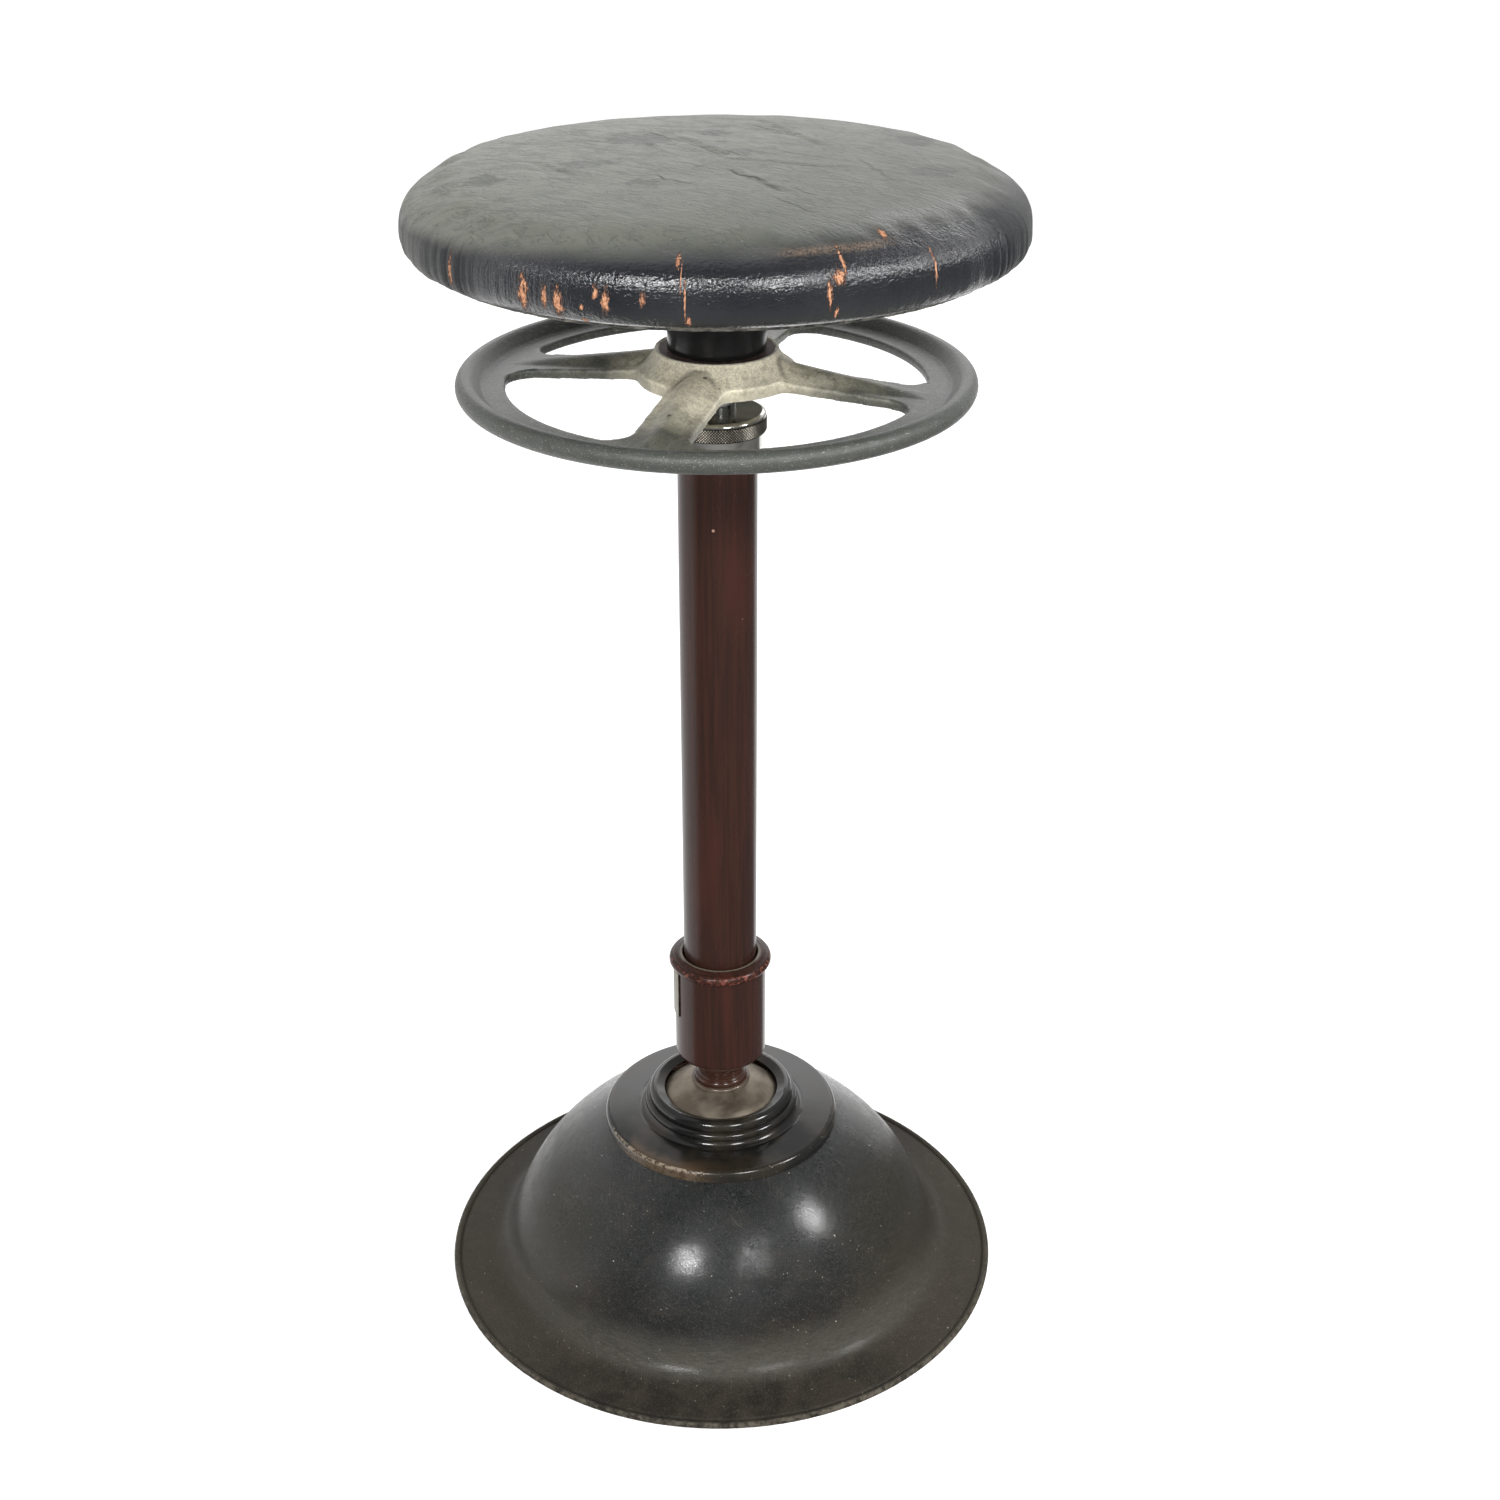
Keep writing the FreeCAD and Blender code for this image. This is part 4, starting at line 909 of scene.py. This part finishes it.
def fold_depth(place, angle):
    """How far the side sinks in its upright folds, which fade out towards the top."""
    fade = 1 - ease(place.z, SEAT_UNDERSIDE + 24 * MM, SEAT_UNDERSIDE + 42 * MM)
    degrees = math.degrees(angle) % 360 + 1.2 * noise.noise(Vector((0, 0, place.z * 40)))
    sunk = [depth * MM * math.exp(-((degrees - middle) / half) ** 2) for middle, half, depth in FOLDS]
    return fade * sum(sunk)


def crease_depth(place):
    """How far the top leather sinks at a place, in a fold that fades out at both ends."""
    sink = 0.0
    for start, stop, depth in CREASES:
        first, last = Vector(start) * MM, Vector(stop) * MM
        along = last - first
        share = (place.xy - first).dot(along) / along.length_squared
        if -0.1 < share < 1.1:
            side = Vector((-along.y, along.x)).normalized()
            off = (place.xy - first).dot(side) + 1.5 * MM * noise.noise(place * 60)
            fade = ease(share, -0.1, 0.2) * (1 - ease(share, 0.8, 1.1))
            sink += fade * depth * MM * math.exp(-(off / (2.2 * MM)) ** 2)
            sink -= 0.6 * fade * depth * MM * math.exp(-((off - 4 * MM) / (3 * MM)) ** 2)
    return sink


def work_leather(piece):
    """Puckers the side where the leather was pulled down, most at both ends, and creases the top."""
    for vertex in piece.data.vertices:
        place = vertex.co
        angle = math.atan2(place.y, place.x)
        reach = place.xy.length
        side = ease(reach, SEAT_RADIUS - 28 * MM, SEAT_RADIUS - 8 * MM)
        low = 1 - ease(place.z, SEAT_UNDERSIDE + 6 * MM, SEAT_CROWN - 8 * MM)
        ends = 0.3 + 0.7 * ease(abs(math.cos(angle)), 0.3, 0.85)
        pull = ends * (0.5 * wave(angle, 16, 6 * place.z) + 0.8 * wave(angle, 38, 8 * place.z, 7.0))
        out = Vector((place.x, place.y, 0)).normalized()
        lump = noise.noise(place * 16) * 0.8 * MM + noise.noise(place * 34) * 0.35 * MM
        push = PUCKER * pull * (0.25 + 0.75 * low) + 0.6 * lump - fold_depth(place, angle)
        vertex.co = place + out * side * push
        if place.z > SEAT_WAIST + 10 * MM:
            vertex.co.z += (1 - side) * lump - crease_depth(place)


def make_cushion():
    cushion = turn("seat_cushion", seat_outline(SLACK), sides=180)
    close_holes(cushion)
    stuff(cushion, CUSHION_NET, SEAT_UNDERSIDE + 4 * MM)
    change(cushion, "SUBSURF", levels=1, render_levels=1)
    work_leather(cushion)
    smooth(cushion, 60)
    return cushion


def make_hem():
    """The cover's edge, turned in under the board in small pleats, with a rolled corner."""
    inner = SEAT_FOOT_RADIUS - HEM_WIDTH
    corner = (SEAT_FOOT_RADIUS - 1.2 * MM, SEAT_UNDERSIDE + 1.2 * MM)
    outline = [(inner, SEAT_UNDERSIDE + LEATHER - 0.1 * MM), (inner, SEAT_UNDERSIDE + 0.3 * MM)]
    outline += [(inner + HEM_WIDTH * share, SEAT_UNDERSIDE + 0.1 * MM) for share in (0.02, 0.3, 0.6, 0.85)]
    outline += round_points(corner, 1.3 * MM, -90, 60, 7)
    outline += [(SEAT_FOOT_RADIUS - 4 * MM, SEAT_UNDERSIDE + 2.6 * MM), outline[0]]
    hem = turn("seat_hem", outline, sides=720)
    for vertex in hem.data.vertices:
        angle = math.atan2(vertex.co.y, vertex.co.x)
        reach = vertex.co.xy.length
        share = ease(reach, inner, SEAT_FOOT_RADIUS - 2 * MM)
        if vertex.co.z < SEAT_UNDERSIDE + LEATHER:
            pleat = abs(wave(angle, 22, seed=3.0)) + 0.5 * wave(angle, 60, seed=9.0)
            vertex.co.z += 0.8 * MM * pleat * share * (1 - ease(reach, corner[0], SEAT_FOOT_RADIUS))
        if reach > corner[0]:
            vertex.co.xy *= 1 + 0.5 * MM * wave(angle, 30, seed=5.0) / reach
    smooth(hem, 50)
    return hem


WHEEL_NET = (1.18 * MM, 2.0 * MM)


def note_hollows(piece, spread=7):
    """Keeps on each point how hollow the surface is, in 1/mm: over 0 in a hollow, under 0 on an edge."""
    mesh = piece.data
    places = [vertex.co for vertex in mesh.vertices]
    outward = [vertex.normal for vertex in mesh.vertices]
    pairs = [tuple(edge.vertices) for edge in mesh.edges]
    counts = [0] * len(places)
    bends = [0.0] * len(places)
    for first, second in pairs:
        along = places[second] - places[first]
        share = 2 * MM / max(along.length_squared, WELD * WELD)
        bends[first] += share * along.dot(outward[first])
        bends[second] -= share * along.dot(outward[second])
        counts[first] += 1
        counts[second] += 1
    bends = [bend / max(count, 1) for bend, count in zip(bends, counts)]
    for step in range(spread):
        totals = list(bends)
        for first, second in pairs:
            totals[first] += bends[second]
            totals[second] += bends[first]
        bends = [total / (count + 1) for total, count in zip(totals, counts)]
    mesh.attributes.new(HOLLOW, "FLOAT", "POINT").data.foreach_set("value", bends)


def make_wheel():
    """The casting: its edges are rounded over and its ribs run softly into the web."""
    deselect()
    source = frame["nodes"]["hand_wheel"]
    wheel = bpy.data.objects.new("wheel_casting", source.data.copy())
    bpy.context.scene.collection.objects.link(wheel)
    take(wheel)
    work()
    bpy.ops.mesh.remove_doubles(threshold=WELD)
    put_down()
    change(wheel, "REMESH", mode="VOXEL", voxel_size=WHEEL_NET[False])
    change(wheel, "SMOOTH", factor=0.5, iterations=2)
    note_hollows(wheel)
    smooth(wheel, 70)
    return wheel


# Spindle and collar

PITCH = 6.35 * MM
THREAD_DEPTH = 1.7 * MM
THREAD_STEPS = 36
PLAIN_TOP = 22 * MM
SHAFT = 11.08 * MM
JOURNAL = 9.5 * MM
JOURNAL_TOP = 699.9 * MM
END_THREAD = 8.0 * MM
RIDGE_HALF = 0.26 * PITCH
RIDGE_DRAFT = 0.04 * PITCH


def make_spindle():
    """The screw: a core with a square ridge wound round it, and the plain journal on top."""
    core = SHAFT - THREAD_DEPTH
    foot, top = spindle_low.z, spindle_high.z
    stop = wheel_low.z - PLAIN_TOP
    hub_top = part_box("thrust_washer")[0].z
    shaft = turn("spindle_screw", [(core - 1 * MM, foot), (core, foot + 1 * MM), (core, stop),
            (SHAFT, stop + 2 * MM), (SHAFT, hub_top), (JOURNAL, hub_top), (JOURNAL, JOURNAL_TOP),
            (END_THREAD, JOURNAL_TOP), (END_THREAD, top - 0.8 * MM), (END_THREAD - 0.8 * MM, top)],
            sides=96)
    close_holes(shaft)
    deselect()
    bpy.ops.mesh.primitive_plane_add(size=2, location=(SHAFT - 0.5 * THREAD_DEPTH, 0, foot + PITCH),
            rotation=(0.5 * math.pi, 0, 0))
    ridge = bpy.context.object
    ridge.scale = (0.5 * THREAD_DEPTH + 0.3 * MM, RIDGE_HALF, 1)
    settle(ridge)
    for vertex in ridge.data.vertices:
        if vertex.co.x > SHAFT - 0.5 * THREAD_DEPTH:
            vertex.co.x = SHAFT
            vertex.co.z += math.copysign(RIDGE_DRAFT, foot + PITCH - vertex.co.z)
    work()
    bpy.ops.mesh.delete(type="ONLY_FACE")
    put_down()
    change(ridge, "SCREW", screw_offset=PITCH, iterations=int((stop - foot - 1.5 * PITCH) / PITCH),
           steps=THREAD_STEPS, render_steps=THREAD_STEPS)
    close_holes(ridge)
    spindle = join("spindle_screw", shaft, ridge)
    smooth(spindle, 35)
    return spindle


COLLAR_RADIUS = collar_high.x
NECK_RADIUS = 27.0 * MM
KNURL_BAND = 8.5 * MM
KNURL_ROWS = 10
KNURL_COLUMNS = 216
KNURL_DEPTH = 0.45 * MM
COLLAR_CHAMFER = (3.7 * MM, 3.0 * MM)


def make_knurl(root, foot):
    """The band of diamonds: every other corner of a fine net stands out, and edges run along the valleys."""
    deselect()
    bpy.ops.mesh.primitive_circle_add(vertices=KNURL_COLUMNS, radius=root, location=(0, 0, foot))
    knurl = settle(bpy.context.object)
    work()
    for row in range(KNURL_ROWS):
        bpy.ops.mesh.extrude_edges_move()
        bpy.ops.transform.translate(value=(0, 0, KNURL_BAND / KNURL_ROWS))
    bpy.ops.mesh.select_all(action="SELECT")
    bpy.ops.mesh.normals_make_consistent(inside=False)
    bpy.ops.mesh.select_all(action="DESELECT")
    put_down()
    for vertex in knurl.data.vertices:
        column = round(math.atan2(vertex.co.y, vertex.co.x) / (2 * math.pi / KNURL_COLUMNS))
        row = round((vertex.co.z - foot) / (KNURL_BAND / KNURL_ROWS))
        vertex.select = 0 < row < KNURL_ROWS and (column + row) % 2 == 1
    bpy.ops.object.mode_set(mode="EDIT")
    bpy.ops.mesh.select_mode(type="VERT")
    share = 1 + KNURL_DEPTH / root
    bpy.ops.transform.resize(value=(share, share, 1), center_override=(0, 0, 0))
    bpy.ops.mesh.select_all(action="SELECT")
    bpy.ops.mesh.quads_convert_to_tris(quad_method="SHORTEST_DIAGONAL")
    put_down()
    return knurl


def make_collar():
    """The nickelled collar: a flat polished top, a rounded edge, its knurling and a plain neck."""
    top, bottom = collar_high.z, collar_low.z
    knurl_top = top - COLLAR_CHAMFER[1]
    knurl_foot = knurl_top - KNURL_BAND
    hole = SHAFT + 0.08 * MM
    tube = tube_high.x + 0.05 * MM
    roof = tube_high.z + 3.05 * MM
    root = COLLAR_RADIUS - KNURL_DEPTH
    wide, tall = COLLAR_CHAMFER[0] - 0.3 * MM, COLLAR_CHAMFER[1] - 0.5 * MM
    side = COLLAR_RADIUS - 0.3 * MM
    turns = [0.5 * math.pi * step / 10 for step in range(11)]
    edge = [(side - wide * (1 - math.cos(angle)), top - tall * (1 - math.sin(angle))) for angle in turns]
    body = turn("knurled_collar_body", [(tube, bottom), (NECK_RADIUS - 0.3 * MM, bottom),
            (NECK_RADIUS, bottom + 0.3 * MM), (NECK_RADIUS, knurl_foot - 0.8 * MM),
            (root - 0.4 * MM, knurl_foot - 0.2 * MM), (root, knurl_foot), (root, knurl_top),
            (root - 0.6 * MM, knurl_top + 0.15 * MM), (root - 0.6 * MM, knurl_top + 0.4 * MM), *edge,
            (hole + 0.4 * MM, top), (hole, top - 0.4 * MM), (hole, roof), (tube, roof), (tube, bottom)],
            sides=KNURL_COLUMNS)
    collar = join("collar_knurled", body, make_knurl(root, knurl_foot))
    smooth(collar, 30)
    return collar


# Plate on the ferrule, left bare

PLATE_RADIUS = 30.3 * MM
PLATE_GAP = 0.15 * MM
PLATE_HALF_ANGLE = 26
PLATE_FOOT = ferrule_low.z + 34 * MM
PLATE_HEIGHT = 34 * MM
PLATE_THICKNESS = 0.9 * MM


def make_plate():
    deselect()
    bpy.ops.mesh.primitive_cylinder_add(vertices=360, radius=PLATE_RADIUS + PLATE_GAP, depth=PLATE_HEIGHT,
            location=(0, 0, PLATE_FOOT + 0.5 * PLATE_HEIGHT), end_fill_type="NOTHING")
    plate = settle(bpy.context.object)
    plate.name = "ferrule_plate"
    work("DESELECT")
    put_down()
    edge = -PLATE_RADIUS * math.cos(math.radians(PLATE_HALF_ANGLE))
    for face in plate.data.polygons:
        face.select = face.center.x > edge
    bpy.ops.object.mode_set(mode="EDIT")
    bpy.ops.mesh.select_mode(type="FACE")
    bpy.ops.mesh.delete(type="FACE")
    put_down()
    change(plate, "SOLIDIFY", thickness=PLATE_THICKNESS, offset=1)
    change(plate, "BEVEL", width=0.25 * MM, segments=2, angle_limit=math.radians(50))
    smooth(plate, 35)
    return plate


# Dressing

def dress(piece, material):
    piece.data.materials.clear()
    piece.data.materials.append(material)


def dress_node(node, material):
    """Gives a carried-over node its finish, in its own slots."""
    for slot in frame["nodes"][node].material_slots:
        slot.material = material


def stand_for(piece, material, slot, *nodes):
    """Dresses a new piece and lets it stand for plain nodes, on their body."""
    dress(piece, material)
    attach(piece, frame["nodes"][nodes[0]]["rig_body"])
    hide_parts(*nodes)


leather = seat_leather()
cushion = make_cushion()
stand_for(cushion, leather, "seat_leather", "seat_cover", "seat_padding")

hem = make_hem()
dress(hem, seat_hem_leather())
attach(hem, "seat")

aluminium = cast_aluminium()
stand_for(make_wheel(), aluminium, "cast_alloy", "hand_wheel")

steel = bare_metal("plain_steel", (0.30, 0.29, 0.28), (0.42, 0.41, 0.40), 0.22, 0.38, size=3.0, depth=0.02)
stand_for(make_spindle(), polished_steel(), "steel", "spindle")
stand_for(make_collar(), collar_nickel(), "nickel", "knurled_collar")

plate = make_plate()
dress(plate, bare_metal("plate_metal", (0.16, 0.15, 0.125), (0.27, 0.26, 0.225), 0.36, 0.5, size=5.0))
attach(plate, "column")

iron = bare_metal("raw_iron", (0.05, 0.045, 0.04), (0.12, 0.11, 0.10), 0.5, 0.75, size=2.5, depth=0.15)
spring = bare_metal("spring_steel", (0.10, 0.10, 0.11), (0.18, 0.18, 0.20), 0.25, 0.4)
brass = bare_metal("brass", (0.48, 0.33, 0.13), (0.62, 0.45, 0.20), 0.25, 0.4)
liner = fibre("liner_fibre", (0.10, 0.050, 0.024), (0.17, 0.090, 0.045))

finishes = {
    "bell_cover": bell_enamel(),
    "socket_cap": cap_enamel(),
    "ball_stud": ball_metal(),
    "column_tube": mahogany_paint(),
    "column_ferrule": ferrule_paint(),
    "seat_boss": boss_enamel(),
    "thrust_washer": fibre("washer_fibre", (0.120, 0.080, 0.066), (0.240, 0.165, 0.140)),
    "upper_liner": liner,
    "lower_liner": liner,
    "ballast_casting": iron,
    "pressure_cup": iron,
    "disc_springs": spring,
    "guide_bush": brass,
    "lift_nut": brass,
    "seat_board": plywood(),
    "underside_lining": lining_cloth(),
    "upholstery_tacks": bare_metal("tack_steel", (0.05, 0.05, 0.055), (0.10, 0.10, 0.10), 0.3, 0.5),
}
for node, material in finishes.items():
    dress_node(node, material)
for node in ("spring_plate", "plate_screws", "column_pin", "ferrule_screw", "inner_tube", "spindle_stop",
             "stop_pin", "wheel_pin", "retaining_washer", "retaining_nut", "boss_screws"):
    dress_node(node, steel)

# Studio

deselect()
bpy.ops.mesh.primitive_plane_add(size=30, location=(0, 0, 0))
floor = bpy.context.object
floor.name = "studio_floor"
dress(floor, floor_paper())

world = bpy.data.worlds.new("studio")
bpy.context.scene.world = world
take_up(world)
bench.nodes.clear()
sky = lay("TexCoord").outputs["Generated"]
up = lay("SeparateXYZ", {"Vector": sky}).outputs["Z"]
around = bearing(sky)
wall = band(up, 0.25, 0.75, BACKGROUND, CEILING)
halo = times(band(up, 0.12, 0.42), band(up, 0.92, 0.78), past(around, *HALO_EDGE))
gloom = times(*(past(around, *edge) for edge in GLOOM_GAP))
dull = times(band(up, 0.82, 0.95, DIM, DIM_OVERHEAD), band(gloom, 0.0, 1.0, 1.0, GLOOM))
shown = mirrored(sky, wall, scaled(halo, HALO, dull))
strength = blend(seen_ray(), FILL, shown)
strength = blend(lay("LightPath").outputs["Is Camera Ray"], strength, BACKGROUND)
glow = lay("Background", {"Color": (1, 1, 1, 1), "Strength": strength})
lay("OutputWorld", {"Surface": glow.outputs[0]})

STOOL_MIDDLE = Vector((0, 0, 0.40))


def lamp(name, azimuth, elevation, distance, size, power, aim=STOOL_MIDDLE):
    """A soft box. Azimuth 0 is at the camera's side and grows to the right."""
    around, up = math.radians(azimuth), math.radians(elevation)
    away = Vector((math.sin(around) * math.cos(up), -math.cos(around) * math.cos(up), math.sin(up)))
    light = bpy.data.lights.new(name, "AREA")
    light.shape = "RECTANGLE"
    light.size, light.size_y = size
    light.energy = power
    box = bpy.data.objects.new(name, light)
    bpy.context.scene.collection.objects.link(box)
    box.location = aim + away * distance
    box.rotation_euler = away.to_track_quat("Z", "Y").to_euler()
    return box


lamp("front_left_box", -21, 34, 2.6, (0.5, 0.5), 28)
lamp("front_right_box", 25, 34, 2.6, (0.5, 0.5), 24)
lamp("right_box", 72, 35, 2.6, (0.5, 0.6), 26)
lamp("front_low_box", 8, 12, 2.6, (2.2, 0.7), 32).visible_glossy = False
lamp("back_box", 180, 22, 2.8, (2.4, 1.0), 12)

# Camera, at the photograph's angle: lens and place in millimetres, turns in radians
LENS = 54.03
EYE = (15.1, -1278.2, 1044.0)
PAN, TIP, ROLL = -0.00362, 0.47102, 0.00136

camera = bpy.data.cameras.new("camera")
camera.lens = LENS
camera.sensor_width = 36
view = bpy.data.objects.new("camera", camera)
bpy.context.scene.collection.objects.link(view)
view.location = Vector(EYE) * MM
view.rotation_mode = "QUATERNION"
pan, roll = Quaternion((0, 0, 1), PAN), Quaternion((0, 0, 1), ROLL)
view.rotation_quaternion = pan @ Quaternion((1, 0, 0), 0.5 * math.pi - TIP) @ roll
bpy.context.scene.camera = view
bpy.context.scene.view_settings.view_transform = "Standard"
